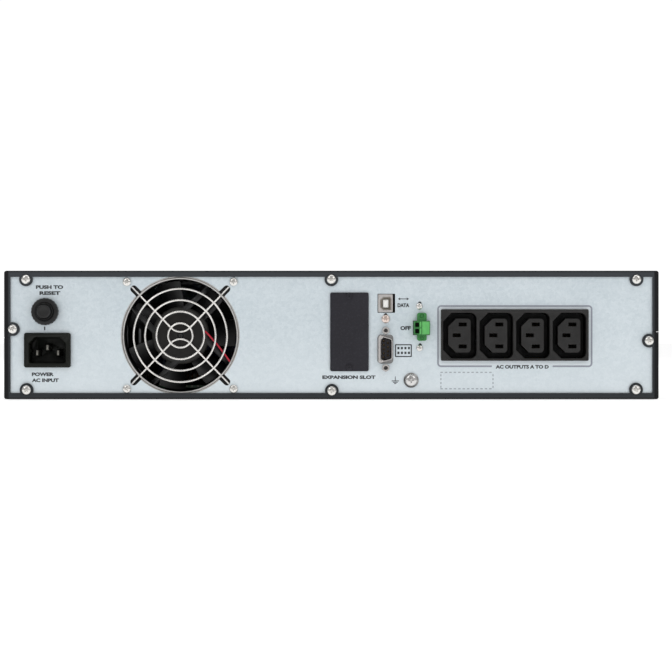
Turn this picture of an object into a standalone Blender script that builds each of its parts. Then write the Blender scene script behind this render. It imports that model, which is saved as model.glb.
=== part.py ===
"""Rack-mount uninterruptible power supply, two rack units high, as an assembly of separate pieces.

Frame: metres, +Z up, origin at the centre of the footprint. The connector panel faces -Y and the bezel faces +Y.
Lengths below are in millimetres; make() turns them into metres.
"""

import math

import bmesh
import bpy
from mathutils import Matrix, Vector

MM = 0.001

# Case
CASE_W = 438.0
CASE_H = 86.0
SHEET = 1.2
GAP = 0.3
CORNER_R = 2.0
Y_RIM = -207.8
Y_CASE_FRONT = 194.0
Y_BEZEL_FRONT = 218.0
RIM_W = 4.15
SEAM_LEFT = 41.0
SEAM_RIGHT = 45.0
TAB_R = 4.6
CASE_SCREWS_TRAY = [(-204.0, 6.2), (0.3, 5.6), (203.9, 6.4), (212.6, 39.2)]
CASE_SCREWS_COVER = [(-204.4, 80.2), (0.0, 80.2), (204.2, 80.2), (-213.2, 46.9)]

# Rear panel
Y_PANEL = Y_RIM + SHEET + GAP
Y_PANEL_IN = Y_PANEL + SHEET

# Fan
FAN_X, FAN_Z = -101.2, 42.7
FAN_PITCH = 71.5
FAN_SIDE = 80.0
FAN_DEPTH = 25.0
FAN_HOLE_R = 39.8
FAN_BORE_R = 38.0
HUB_R = 17.5
BLADE_R = 36.6
BLADES = 7
WIRE_R = 0.72
RING_RADII = [8.2, 16.0, 23.65, 31.3, 38.5]
SLOT_END_R = 46.4
SLOT_W = 4.8

# Mains inlet
INLET = (-190.0, 32.8)
INLET_W, INLET_H = 31.2, 23.2

# Circuit breaker
BREAKER = (-191.5, 58.6)
BREAKER_NUT_R = 9.1
BREAKER_NECK_R = 5.7
BREAKER_BUTTON_R = 4.6

# Outlets
OUT_X0, OUT_X1, OUT_Z0, OUT_Z1 = 73.3, 172.1, 25.7, 60.2
OUT_CORES = [85.7 + 24.46 * i for i in range(4)]
OUT_CORE_W, OUT_CORE_H, OUT_CORE_Z = 15.2, 23.2, 42.7
RECESS_W, RECESS_H = 22.2, 31.6
RECESS_DEPTH = 17.0

# Option slot cover
SLOT_X0, SLOT_X1, SLOT_Z0, SLOT_Z1 = -0.8, 25.0, 18.7, 71.4
SLOT_SCREWS = [(11.9, 69.0), (11.9, 21.3)]

# Data ports, relay port, earth
USB_X, USB_Z = 36.4, 64.0
USB_SCREW = (36.4, 53.7)
SERIAL_X, SERIAL_Z = 36.2, 33.5
JACKS = [(36.4, 46.0), (36.4, 21.0)]
EPO_X0, EPO_X1, EPO_Z0, EPO_Z1 = 55.0, 65.7, 43.3, 52.1
EPO_SCREWS = [(58.9, 62.2), (59.1, 34.2)]
GROUND = (53.4, 12.7)


# ---------------------------------------------------------------- materials
def material(name, colour, roughness, metallic=0.0):
    made = bpy.data.materials.new(name)
    made.use_nodes = True
    shader = made.node_tree.nodes["Principled BSDF"]
    shader.inputs["Base Color"].default_value = (*colour, 1.0)
    shader.inputs["Roughness"].default_value = roughness
    shader.inputs["Metallic"].default_value = metallic
    made.diffuse_color = (*colour, 1.0)
    return made


def clear_scene():
    for obj in list(bpy.data.objects):
        bpy.data.objects.remove(obj, do_unlink=True)


# ---------------------------------------------------------------- outlines
def arc(cx, cy, r, a0, a1, n):
    """Points on an arc, angles in degrees, both ends included."""
    return [
        (
            cx + r * math.cos(math.radians(a0 + (a1 - a0) * i / n)),
            cy + r * math.sin(math.radians(a0 + (a1 - a0) * i / n)),
        )
        for i in range(n + 1)
    ]


def circle(cx, cy, r, n=16, turn=0.0):
    return [
        (
            cx + r * math.cos(2 * math.pi * i / n + turn),
            cy + r * math.sin(2 * math.pi * i / n + turn),
        )
        for i in range(n)
    ]


def rounded(x0, y0, x1, y1, r=0.0, n=3, corners="abcd", chamfer=""):
    """A rectangle. Corners a, b, c, d run from (x0, y0) counter-clockwise; those in chamfer are cut straight."""
    out = []
    for key, cx, cy, ax, ay, start in (
        ("a", x0, y0, 1, 1, 180),
        ("b", x1, y0, -1, 1, 270),
        ("c", x1, y1, -1, -1, 0),
        ("d", x0, y1, 1, -1, 90),
    ):
        if key in chamfer:
            size = chamfer_of(chamfer)
            ends = arc(cx + ax * size, cy + ay * size, size, start, start + 90, 1)
            out += ends
        elif r > 0 and key in corners:
            out += arc(cx + ax * r, cy + ay * r, r, start, start + 90, n)
        else:
            out.append((cx, cy))
    return out


def chamfer_of(text):
    """The size that ends a chamfer text, such as "cd:4"."""
    return float(text.split(":")[1])


def box_outline(x0, y0, x1, y1):
    return [(x0, y0), (x1, y0), (x1, y1), (x0, y1)]


# ---------------------------------------------------------------- solids
def add_prism(bm, outline, axis, lo, hi, inset=0.0):
    """Extrudes an outline along an axis. Outline pairs are (x, z) for Y, (x, y) for Z and (y, z) for X."""
    place = {
        "Y": lambda a, b, t: (a, t, b),
        "Z": lambda a, b, t: (a, b, t),
        "X": lambda a, b, t: (t, a, b),
    }[axis]
    low = [bm.verts.new(Vector(place(a, b, lo)) * MM) for a, b in outline]
    high = [bm.verts.new(Vector(place(a, b, hi)) * MM) for a, b in outline]
    made = [bm.faces.new(low), bm.faces.new(high)]
    count = len(outline)
    for i in range(count):
        j = (i + 1) % count
        made.append(bm.faces.new([low[i], low[j], high[j], high[i]]))
    bmesh.ops.recalc_face_normals(bm, faces=made)


def add_turned(bm, profile, cx, cz, n=16, ring=False, axis="Y", turn=0.0):
    """Turns (radius, along) points about a line through (cx, cz). A ring's profile is closed and stays off the axis."""
    place = {
        "Y": lambda a, b, t: (cx + a, t, cz + b),
        "Z": lambda a, b, t: (cx + a, cz + b, t),
        "X": lambda a, b, t: (t, cx + a, cz + b),
    }[axis]
    rows = []
    for r, along in profile:
        if r < 1e-6:
            rows.append([bm.verts.new(Vector(place(0, 0, along)) * MM)])
            continue
        row = []
        for i in range(n):
            angle = 2 * math.pi * i / n + turn
            row.append(bm.verts.new(Vector(place(r * math.cos(angle), r * math.sin(angle), along)) * MM))
        rows.append(row)
    made = []
    pairs = list(zip(rows, rows[1:]))
    if ring:
        pairs.append((rows[-1], rows[0]))
    for first, second in pairs:
        for i in range(n):
            j = (i + 1) % n
            a, b = first[i % len(first)], first[j % len(first)]
            c, d = second[j % len(second)], second[i % len(second)]
            corners = []
            for vert in (a, b, c, d):
                if vert not in corners:
                    corners.append(vert)
            if len(corners) > 2:
                made.append(bm.faces.new(corners))
    if not ring:
        for row in (rows[0], rows[-1]):
            if len(row) > 1:
                made.append(bm.faces.new(row))
    bmesh.ops.recalc_face_normals(bm, faces=made)


def add_tube(bm, points, r, sides=6, closed=False):
    """Sweeps a circle along points, in millimetres, with flat ends."""
    points = [Vector(p) for p in points]
    count = len(points)
    rows = []
    up = None
    for i, point in enumerate(points):
        if closed:
            along = (points[(i + 1) % count] - points[i - 1]).normalized()
        else:
            along = (points[min(i + 1, count - 1)] - points[max(i - 1, 0)]).normalized()
        if up is None:
            up = Vector((0, 1, 0)) if abs(along.y) < 0.9 else Vector((0, 0, 1))
        up = (up - along * up.dot(along)).normalized()
        side = along.cross(up)
        rows.append(
            [
                bm.verts.new(
                    (
                        point
                        + up * (r * math.cos(2 * math.pi * k / sides))
                        + side * (r * math.sin(2 * math.pi * k / sides))
                    )
                    * MM
                )
                for k in range(sides)
            ]
        )
    pairs = list(zip(rows, rows[1:])) + ([(rows[-1], rows[0])] if closed else [])
    made = []
    for first, second in pairs:
        for k in range(sides):
            j = (k + 1) % sides
            made.append(bm.faces.new([first[k], first[j], second[j], second[k]]))
    if not closed:
        made += [bm.faces.new(rows[0]), bm.faces.new(rows[-1])]
    bmesh.ops.recalc_face_normals(bm, faces=made)


def new_mesh():
    return bmesh.new()


def prism(outline, axis, lo, hi):
    bm = bmesh.new()
    add_prism(bm, outline, axis, lo, hi)
    return bm


def block(x0, x1, y0, y1, z0, z1):
    return prism(box_outline(x0, z0, x1, z1), "Y", y0, y1)


def turned(profile, cx, cz, n=16, ring=False, axis="Y", turn=0.0):
    bm = bmesh.new()
    add_turned(bm, profile, cx, cz, n, ring, axis, turn)
    return bm


def rod(cx, cz, r, y0, y1, n=12, axis="Y", turn=0.0):
    return turned([(r, y0), (r, y1)], cx, cz, n, axis=axis, turn=turn)


def object_of(bm, name):
    mesh = bpy.data.meshes.new(name)
    bm.to_mesh(mesh)
    bm.free()
    obj = bpy.data.objects.new(name, mesh)
    bpy.context.scene.collection.objects.link(obj)
    return obj


def combine(base, tool, operation):
    """Applies one exact Boolean to base and removes the tool."""
    modifier = base.modifiers.new("combine", "BOOLEAN")
    modifier.operation = operation
    modifier.solver = "EXACT"
    modifier.object = tool
    graph = bpy.context.evaluated_depsgraph_get()
    made = bpy.data.meshes.new_from_object(base.evaluated_get(graph))
    base.modifiers.clear()
    old = base.data
    base.data = made
    bpy.data.meshes.remove(old)
    bpy.data.objects.remove(tool, do_unlink=True)


def merged(pieces):
    """One mesh of several shapes that don't touch each other."""
    whole = bmesh.new()
    for piece in pieces:
        mesh = bpy.data.meshes.new("tool")
        piece.to_mesh(mesh)
        piece.free()
        whole.from_mesh(mesh)
        bpy.data.meshes.remove(mesh)
    return whole


def make(name, look, body, add=(), cut=(), origin=None, sharp=35.0):
    """Makes one named piece: body, joined with each shape in add, less the shapes in cut. A list inside either is one tool of shapes that stay apart."""
    obj = object_of(body, name)
    for piece in add:
        tool = merged(piece) if isinstance(piece, list) else piece
        combine(obj, object_of(tool, "tool"), "UNION")
    for piece in cut:
        tool = merged(piece) if isinstance(piece, list) else piece
        combine(obj, object_of(tool, "tool"), "DIFFERENCE")
    if origin is not None:
        place = Vector(origin) * MM
        obj.data.transform(Matrix.Translation(-place))
        obj.location = place
    obj.data.name = name
    obj.data.materials.clear()
    obj.data.materials.append(look)
    for face in obj.data.polygons:
        face.use_smooth = True
    obj.data.set_sharp_from_angle(angle=math.radians(sharp))
    return obj


def screw(name, look, x, z, y_seat, head_r=3.1, head_h=2.0, shank_r=1.35, length=7.0, washer_r=0.0, n=12):
    """A pan head screw whose head bears on y_seat and points to -Y, with its shank running to +Y."""
    y = y_seat - GAP
    profile = [(0.0, y - head_h), (head_r * 0.62, y - head_h * 0.9), (head_r * 0.93, y - head_h * 0.45), (head_r, y - 0.35 * head_h * 0.5)]
    if washer_r:
        profile = [(0.0, y - head_h - 0.5), (head_r * 0.62, y - head_h * 0.9 - 0.5), (head_r, y - head_h * 0.45 - 0.5), (head_r, y - 0.6), (washer_r, y - 0.6)]
        profile.append((washer_r, y))
    else:
        profile.append((head_r, y))
    profile += [(shank_r, y), (shank_r, y + length), (0.0, y + length + 0.6)]
    return make(name, look, turned(profile, x, z, n))


# ---------------------------------------------------------------- case
def tab(cx, cz, edge, bulge, n=7):
    """The arc of a half-round tab whose centre is edge millimetres past the lip's edge, bulging towards the angle given."""
    s = math.degrees(math.asin(edge / TAB_R))
    return arc(cx, cz, TAB_R, bulge - 90 - s, bulge + 90 + s, n)


def tray_lip():
    half = CASE_W / 2
    inner = half - RIM_W
    out = [(-half, SEAM_LEFT)]
    out += arc(-half + CORNER_R, CORNER_R, CORNER_R, 180, 270, 4)
    out += arc(half - CORNER_R, CORNER_R, CORNER_R, 270, 360, 4)
    out += [(half, SEAM_RIGHT), (inner, SEAM_RIGHT)]
    x, z = CASE_SCREWS_TRAY[3]
    out += tab(x, z, inner - x, 180)
    out.append((inner, RIM_W))
    for x, z in reversed(CASE_SCREWS_TRAY[:3]):
        out += tab(x, z, z - RIM_W, 90)
    out.append((-inner, RIM_W))
    out.append((-inner, SEAM_LEFT))
    return out


def cover_lip():
    half = CASE_W / 2
    inner = half - RIM_W
    top = CASE_H - RIM_W
    out = [(half, SEAM_RIGHT + GAP)]
    out += arc(half - CORNER_R, CASE_H - CORNER_R, CORNER_R, 0, 90, 4)
    out += arc(-half + CORNER_R, CASE_H - CORNER_R, CORNER_R, 90, 180, 4)
    out += [(-half, SEAM_LEFT + GAP), (-inner, SEAM_LEFT + GAP)]
    x, z = CASE_SCREWS_COVER[3]
    out += tab(x, z, x + inner, 0)
    out.append((-inner, top))
    for x, z in CASE_SCREWS_COVER[:3]:
        out += tab(x, z, top - z, 270)
    out += [(inner, top), (inner, SEAM_RIGHT + GAP)]
    return out


def channel(z_left, z_right, up):
    """The bent sheet's section: a floor with two walls, or with up False a roof with two walls."""
    half = CASE_W / 2
    r, ri, t = CORNER_R, CORNER_R - SHEET, SHEET

    def flip(points):
        return points if up else [(x, CASE_H - z) for x, z in points]

    if not up:
        z_left, z_right = CASE_H - z_left, CASE_H - z_right
    out = [(-half, z_left)]
    out += arc(-half + r, r, r, 180, 270, 4)
    out += arc(half - r, r, r, 270, 360, 4)
    out += [(half, z_right), (half - t, z_right)]
    out += arc(half - r, r, ri, 360, 270, 2)
    out += arc(-half + r, r, ri, 270, 180, 2)
    out.append((-half + t, z_left))
    return flip(out)


def screw_holes(places, r=1.75, y0=-212.0, y1=-203.0, n=8):
    return [rod(x, z, r, y0, y1, n, turn=math.pi / n) for x, z in places]


def ear_holes(zs):
    return [rod(y, z, 1.7, -half_in, -half_in - 6, 8, axis="X") if side < 0 else rod(y, z, 1.7, half_in, half_in + 6, 8, axis="X")
            for side in (-1, 1) for y in EAR_Y for z in zs]


half_in = CASE_W / 2 - 3.0
EAR_Y = (140.0, 178.0)
EAR_Z = (22.0, 64.0)
VENT_Y = [60.0 - 9.0 * i for i in range(9)]
BOARD = (-212.0, 28.0, -172.0, -30.0)
BOARD_Z = 7.0
LATCHES = [(sx * 190.0, z) for sx in (-1, 1) for z in (5.6, 77.5)]


def build_case(mats):
    steel = mats["case_paint"]
    tray = make(
        "base_tray",
        steel,
        prism(channel(SEAM_LEFT, SEAM_RIGHT, True), "Y", Y_RIM + 0.4, Y_CASE_FRONT),
        add=[
            prism(tray_lip(), "Y", Y_RIM, Y_RIM + SHEET),
            [rod(x, y, 3.0, SHEET - 0.6, BOARD_Z - GAP, 8, axis="Z") for x in (BOARD[0] + 8, BOARD[1] - 8) for y in (BOARD[2] + 8, BOARD[3] - 8)],
        ],
        cut=[screw_holes(CASE_SCREWS_TRAY) + ear_holes(EAR_Z[:1])],
    )
    vents = [block(side * 219 - 4, side * 219 + 4, y - 1.5, y + 1.5, 56.0, 74.0) for side in (-1, 1) for y in VENT_Y]
    cover = make(
        "top_cover",
        steel,
        prism(channel(SEAM_LEFT + GAP, SEAM_RIGHT + GAP, False), "Y", Y_RIM + 0.4, Y_CASE_FRONT),
        add=[prism(cover_lip(), "Y", Y_RIM, Y_RIM + SHEET)],
        cut=[screw_holes(CASE_SCREWS_COVER) + ear_holes(EAR_Z[1:]) + vents],
    )
    for i, (x, z) in enumerate(CASE_SCREWS_COVER + CASE_SCREWS_TRAY):
        screw(f"case_screw_{i + 1}", mats["zinc_screw"], x, z, Y_RIM)
    return tray, cover


def fan_slots():
    out = []
    for quadrant in range(4):
        a = math.radians(45 + 90 * quadrant)
        ux, uz = math.cos(a), math.sin(a)
        w = SLOT_W / 2
        end = SLOT_END_R - w
        points = [(30.0, w), (30.0, -w)] + arc(end, 0.0, w, -90, 90, 4)
        points = [(FAN_X + u * ux - v * uz, FAN_Z + u * uz + v * ux) for u, v in points]
        out.append(prism(points, "Y", -215.0, -200.0))
    return out


def build_panel(mats):
    y0, y1 = Y_PANEL, Y_PANEL_IN
    half = CASE_W / 2 - SHEET - GAP
    cut_y = (-215.0, -200.0)
    fan_corners = [(FAN_X + sx * FAN_PITCH / 2, FAN_Z + sz * FAN_PITCH / 2) for sx in (-1, 1) for sz in (-1, 1)]
    bx, bz = INLET
    windows = [
        block(bx - 13.8, bx + 13.8, *cut_y, bz - 10.0, bz + 10.0),
        block(1.7, 22.5, *cut_y, 24.6, 65.7),
        block(30.9, 42.7, *cut_y, 57.9, 70.6),
        prism(rounded(30.8, 23.8, 41.5, 43.3, 2.5, 2), "Y", *cut_y),
        block(EPO_X0 - 0.4, EPO_X1 + 0.4, *cut_y, EPO_Z0 - 0.4, EPO_Z1 + 0.4),
        block(OUT_X0 + 0.4, OUT_X1 - 0.4, *cut_y, OUT_Z0 + 0.3, OUT_Z1 - 0.3),
        rod(*BREAKER, BREAKER_NECK_R + GAP, *cut_y, 16),
        rod(FAN_X, FAN_Z, FAN_HOLE_R, *cut_y, 40, turn=math.pi / 40),
    ]
    holes = screw_holes(
        CASE_SCREWS_TRAY + CASE_SCREWS_COVER + fan_corners + SLOT_SCREWS + [USB_SCREW] + EPO_SCREWS, y0=-215.0, y1=-200.0
    )
    holes += screw_holes(JACKS + [GROUND], r=2.2, y0=-215.0, y1=-200.0)
    make(
        "rear_panel",
        mats["zinc_sheet"],
        prism(rounded(-half, SHEET + GAP, half, CASE_H - SHEET - GAP, 1.0, 2), "Y", y0, y1),
        cut=[windows + holes, fan_slots()],
    )
    # Inner front plate, behind the bezel: battery door opening, harness opening and four latch slots.
    make(
        "front_plate",
        mats["zinc_sheet"],
        prism(rounded(-half, SHEET + GAP, half, CASE_H - SHEET - GAP, 1.0, 2), "Y", Y_CASE_FRONT - 8.0, Y_CASE_FRONT - 6.8),
        cut=[
            [
                block(-204.0, 84.0, 180, 192, 10.0, 70.0),
                block(120.0, 180.0, 180, 192, 30.0, 60.0),
            ]
            + [block(x - 7.0, x + 7.0, 180, 192, z - 2.3, z + 2.3) for x, z in LATCHES]
        ],
    )


# ---------------------------------------------------------------- fan
Y_FAN = Y_PANEL_IN + 2.4
Y_FAN_BACK = Y_FAN + FAN_DEPTH


def blade(bm, angle):
    """One twisted blade, from inside the hub to its tip, as a loft of four-cornered sections."""
    rows = []
    for r, pitch, chord in ((HUB_R - 2.0, 48.0, 16.0), (24.0, 40.0, 18.0), (31.0, 34.0, 20.0), (BLADE_R, 30.0, 21.0)):
        p = math.radians(pitch)
        row = []
        for u, v in ((-0.5, -0.55), (0.5, -0.4), (0.5, 0.4), (-0.5, 0.55)):
            along = u * chord
            arc_len = along * math.cos(p) - v * 1.6 * math.sin(p)
            y = (Y_FAN + Y_FAN_BACK) / 2 + 1.2 + along * math.sin(p) + v * 1.6 * math.cos(p)
            a = angle + arc_len / r
            row.append(bm.verts.new(Vector((FAN_X + r * math.cos(a), y, FAN_Z + r * math.sin(a))) * MM))
        rows.append(row)
    made = [bm.faces.new(rows[0]), bm.faces.new(rows[-1])]
    for first, second in zip(rows, rows[1:]):
        for k in range(4):
            j = (k + 1) % 4
            made.append(bm.faces.new([first[k], first[j], second[j], second[k]]))
    bmesh.ops.triangulate(bm, faces=made)
    bmesh.ops.recalc_face_normals(bm, faces=bm.faces)


def guard_wire(sign):
    """One support wire: from an eyelet, past the panel's slot, through a round bend near the centre, and out to the next eyelet."""
    half = FAN_PITCH / 2
    bend_r, low = 9.0, 2.5
    tangent_x = bend_r * math.sin(math.radians(45))
    tangent_z = low + bend_r * (1 - math.cos(math.radians(45)))
    y_low = y_high = Y_PANEL_IN + 0.95
    e = 3.0 * math.cos(math.radians(45))
    start = (half - e, half - e)
    arm = []
    for t, y in ((0.0, y_low), (0.06, y_low), (0.17, y_high), (0.45, y_high), (0.75, y_high)):
        x = start[0] + (tangent_x - start[0]) * t
        z = start[1] + (tangent_z - start[1]) * t
        arm.append((x, y, z))
    bend = [(bend_r * math.sin(math.radians(a)), y_high, low + bend_r * (1 - math.cos(math.radians(a)))) for a in (45, 30, 15, 0, -15, -30, -45)]
    path = arm + bend + [(-x, y, z) for x, y, z in reversed(arm)]
    return [(FAN_X + x, y, FAN_Z + sign * z) for x, y, z in path]


def build_fan(mats):
    half = FAN_SIDE / 2
    corners = [(FAN_X + sx * FAN_PITCH / 2, FAN_Z + sz * FAN_PITCH / 2) for sx in (-1, 1) for sz in (-1, 1)]
    struts = []
    for k in range(4):
        a0, a1 = math.radians(92 + 90 * k), math.radians(92 - 33 + 90 * k)
        p0 = Vector((FAN_X + 15.0 * math.cos(a0), FAN_Z + 15.0 * math.sin(a0)))
        p1 = Vector((FAN_X + 39.2 * math.cos(a1), FAN_Z + 39.2 * math.sin(a1)))
        side = (p1 - p0).normalized().orthogonal() * 2.1
        struts.append(prism([tuple(p0 + side), tuple(p0 - side), tuple(p1 - side * 0.8), tuple(p1 + side * 0.8)], "Y", Y_FAN + 0.3, Y_FAN + 2.4))
    make(
        "fan_frame",
        mats["fan_plastic"],
        prism(rounded(FAN_X - half, FAN_Z - half, FAN_X + half, FAN_Z + half, 3.0, 3), "Y", Y_FAN, Y_FAN_BACK),
        cut=[
            [rod(FAN_X, FAN_Z, FAN_BORE_R, Y_FAN - 5, Y_FAN_BACK + 5, 36, turn=math.pi / 36)]
            + [rod(x, z, 2.2, Y_FAN - 5, Y_FAN_BACK + 5, 8, turn=math.pi / 8) for x, z in corners],
        ],
        add=[],
    )
    frame = bpy.data.objects["fan_frame"]
    combine(frame, object_of(merged(struts), "tool"), "UNION")
    combine(frame, object_of(rod(FAN_X, FAN_Z, HUB_R - 0.5, Y_FAN + 0.1, Y_FAN + 3.0, 24), "tool"), "UNION")
    combine(frame, object_of(rod(FAN_X, FAN_Z, 2.2, Y_FAN + 0.9, Y_FAN + 6.0, 10), "tool"), "DIFFERENCE")
    frame.data.name = "fan_frame"
    frame.data.materials.clear()
    frame.data.materials.append(mats["fan_plastic"])

    hub = turned(
        [
            (0.0, Y_FAN + 1.4),
            (1.6, Y_FAN + 1.4),
            (1.6, Y_FAN + 3.7),
            (HUB_R - 1.0, Y_FAN + 3.7),
            (HUB_R, Y_FAN + 4.7),
            (HUB_R, Y_FAN_BACK - 1.5),
            (HUB_R - 1.0, Y_FAN_BACK - 0.5),
            (0.0, Y_FAN_BACK - 0.5),
        ],
        FAN_X,
        FAN_Z,
        24,
    )
    blades = []
    for k in range(BLADES):
        bm = bmesh.new()
        blade(bm, 2 * math.pi * k / BLADES)
        blades.append(bm)
    make("fan_rotor", mats["fan_plastic"], hub, add=[blades], origin=(FAN_X, (Y_FAN + Y_FAN_BACK) / 2, FAN_Z))

    rings = []
    for radius, count in zip(RING_RADII, (16, 22, 26, 30, 34)):
        bm = bmesh.new()
        path = [(FAN_X + x, Y_PANEL_IN - 0.3, FAN_Z + z) for x, z in circle(0, 0, radius, count)]
        add_tube(bm, path, WIRE_R, 6, closed=True)
        rings.append(bm)
    wires = []
    for sign in (1, -1):
        bm = bmesh.new()
        add_tube(bm, guard_wire(sign), WIRE_R, 6)
        wires.append(bm)
    eyelets = []
    for x, z in corners:
        bm = bmesh.new()
        path = [(x + a, Y_PANEL_IN + 0.95, z + b) for a, b in circle(0, 0, 3.0, 10, turn=math.pi / 4)]
        add_tube(bm, path, WIRE_R, 6, closed=True)
        eyelets.append(bm)
    make("fan_guard", mats["chrome_wire"], merged(rings), add=[wires, eyelets], sharp=60)
    for i, (x, z) in enumerate(corners):
        screw(f"fan_screw_{i + 1}", mats["zinc_screw"], x, z, Y_PANEL, head_r=2.6, head_h=1.9, shank_r=1.6, length=14.0)

    # The lead runs from the hub along the right-hand strut, over the frame's edge and down to the board.
    lead = bmesh.new()
    a = math.radians(2)
    y = Y_FAN - 0.95
    route = [
        (FAN_X + 15.0 * math.cos(a), y, FAN_Z + 15.0 * math.sin(a)),
        (FAN_X + 21.0, y, FAN_Z - 3.9),
        (FAN_X + 28.0, y, FAN_Z - 12.2),
        (FAN_X + 35.5, y, FAN_Z - 20.5),
        (FAN_X + 39.5, y, FAN_Z - 22.6),
        (FAN_X + 42.2, y + 1.2, FAN_Z - 23.5),
        (FAN_X + 43.3, y + 5.0, FAN_Z - 24.2),
        (FAN_X + 43.6, y + 14.0, FAN_Z - 25.6),
        (FAN_X + 44.0, y + 26.0, FAN_Z - 28.6),
        (FAN_X + 45.0, y + 34.0, FAN_Z - 31.0),
        (FAN_X + 46.0, y + 40.0, FAN_Z - 31.4),
    ]
    add_tube(lead, smooth_path(route, 2), 0.6, 6)
    make("fan_lead", mats["red_lead"], lead, sharp=80)


def smooth_path(points, steps):
    """Points on a Catmull-Rom curve through the ones given."""
    points = [Vector(p) for p in points]
    out = []
    for i in range(len(points) - 1):
        p0, p1, p2, p3 = points[max(i - 1, 0)], points[i], points[i + 1], points[min(i + 2, len(points) - 1)]
        for k in range(steps):
            t = k / steps
            out.append(0.5 * (2 * p1 + (p2 - p0) * t + (2 * p0 - 5 * p1 + 4 * p2 - p3) * t * t + (3 * p1 - p0 - 3 * p2 + p3) * t ** 3))
    out.append(points[-1])
    return [tuple(p) for p in out]


# ---------------------------------------------------------------- mains side
def build_mains(mats):
    x, z = INLET
    y = Y_PANEL
    recess = rounded(x - 12.1, z - 8.5, x + 12.1, z + 8.5, 1.5, 2, corners="ab", chamfer="cd:4.0")
    pins = {"earth": (x, z + 1.9), "live": (x - 7.0, z - 1.8), "neutral": (x + 7.0, z - 1.8)}
    pin_holes = [block(px - 1.35, px + 1.35, y - 5, y + 40, pz - 2.35, pz + 2.35) for px, pz in pins.values()]
    make(
        "inlet_housing",
        mats["inlet_plastic"],
        prism(rounded(x - INLET_W / 2, z - INLET_H / 2, x + INLET_W / 2, z + INLET_H / 2, 1.5, 2), "Y", y - GAP - 2.4, y - GAP),
        add=[prism(rounded(x - 13.5, z - 9.7, x + 13.5, z + 9.7, 1.0, 1), "Y", y - 1.0, y + 20.0)],
        cut=[prism(recess, "Y", y - 5.0, y + 14.5), pin_holes],
    )
    for key, (px, pz) in pins.items():
        make(
            f"inlet_pin_{key}",
            mats["nickel"],
            prism(rounded(px - 1.0, pz - 2.0, px + 1.0, pz + 2.0, 0.5, 1), "Y", y - 0.6 if key != "earth" else y - 1.6, y + 27.0),
        )

    x, z = BREAKER
    make(
        "breaker_body",
        mats["black_plastic"],
        block(x - 8.0, x + 8.0, y + SHEET + GAP, y + 30.0, z - 11.0, z + 11.0),
        add=[rod(x, z, BREAKER_NECK_R, y - 8.2, y + SHEET + 3.0, 20)],
        cut=[rod(x, z, BREAKER_BUTTON_R + GAP, y - 12.0, y + 12.0, 20)],
    )
    knurl = []
    for i in range(24):
        r = BREAKER_NUT_R if i % 2 else BREAKER_NUT_R - 0.6
        a = 2 * math.pi * i / 24
        knurl.append((x + r * math.cos(a), z + r * math.sin(a)))
    make(
        "breaker_nut",
        mats["black_plastic"],
        prism(knurl, "Y", y - 6.3, y - GAP),
        cut=[rod(x, z, BREAKER_NECK_R + GAP, y - 12.0, y + 12.0, 20)],
    )
    y0 = -218.0
    make(
        "breaker_button",
        mats["dark_plastic"],
        turned(
            [
                (0.0, y0 + 0.5),
                (2.6, y0 + 0.35),
                (BREAKER_BUTTON_R - 0.7, y0),
                (BREAKER_BUTTON_R, y0 + 0.7),
                (BREAKER_BUTTON_R, y + 8.0),
                (0.0, y + 8.0),
            ],
            x,
            z,
            20,
        ),
        origin=(x, y0, z),
    )


def build_outlets(mats):
    y = Y_PANEL
    face = y - GAP - 2.4
    windows = []
    for cx in OUT_CORES:
        x0 = cx - OUT_CORE_W / 2 - 3.3
        windows.append(prism(rounded(x0, OUT_CORE_Z - RECESS_H / 2 + 0.2, x0 + RECESS_W, OUT_CORE_Z + RECESS_H / 2 + 0.2, 2.5, 2, corners="bc", chamfer="ad:4.0"), "Y", face - 5, y + 40))
    make(
        "outlet_frame",
        mats["outlet_plastic"],
        prism(rounded(OUT_X0, OUT_Z0, OUT_X1, OUT_Z1, 1.0, 2), "Y", face, y - GAP),
        add=[block(OUT_X0 + 0.7, OUT_X1 - 0.7, y - 1.0, y + 22.0, OUT_Z0 + 0.6, OUT_Z1 - 0.6)],
        cut=[windows],
    )
    for i, cx in enumerate(OUT_CORES):
        x0 = cx - OUT_CORE_W / 2 - 3.3
        floor = face + RECESS_DEPTH
        base = rounded(x0 + GAP, OUT_CORE_Z - RECESS_H / 2 + 0.5, x0 + RECESS_W - GAP, OUT_CORE_Z + RECESS_H / 2 - 0.1, 2.4, 2, corners="bc", chamfer="ad:4.1")
        half = OUT_CORE_W / 2
        core = rounded(cx - half, OUT_CORE_Z - OUT_CORE_H / 2, cx + half, OUT_CORE_Z + OUT_CORE_H / 2, 1.8, 2, corners="bc", chamfer="ad:4.2")
        slots = [
            block(cx + 2.2 - 2.55, cx + 2.2 + 2.55, face - 5, face + 15.0, OUT_CORE_Z + s * 7.35 - 1.15, OUT_CORE_Z + s * 7.35 + 1.15)
            for s in (-1, 1)
        ]
        slots.append(block(cx - 1.8 - 2.55, cx - 1.8 + 2.55, face - 5, face + 15.0, OUT_CORE_Z + 0.1 - 1.15, OUT_CORE_Z + 0.1 + 1.15))
        make(
            f"outlet_core_{i + 1}",
            mats["outlet_plastic"],
            prism(base, "Y", floor, floor + 4.5),
            add=[prism(core, "Y", face + 0.8, floor + 0.8)],
            cut=[slots],
        )


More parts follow.
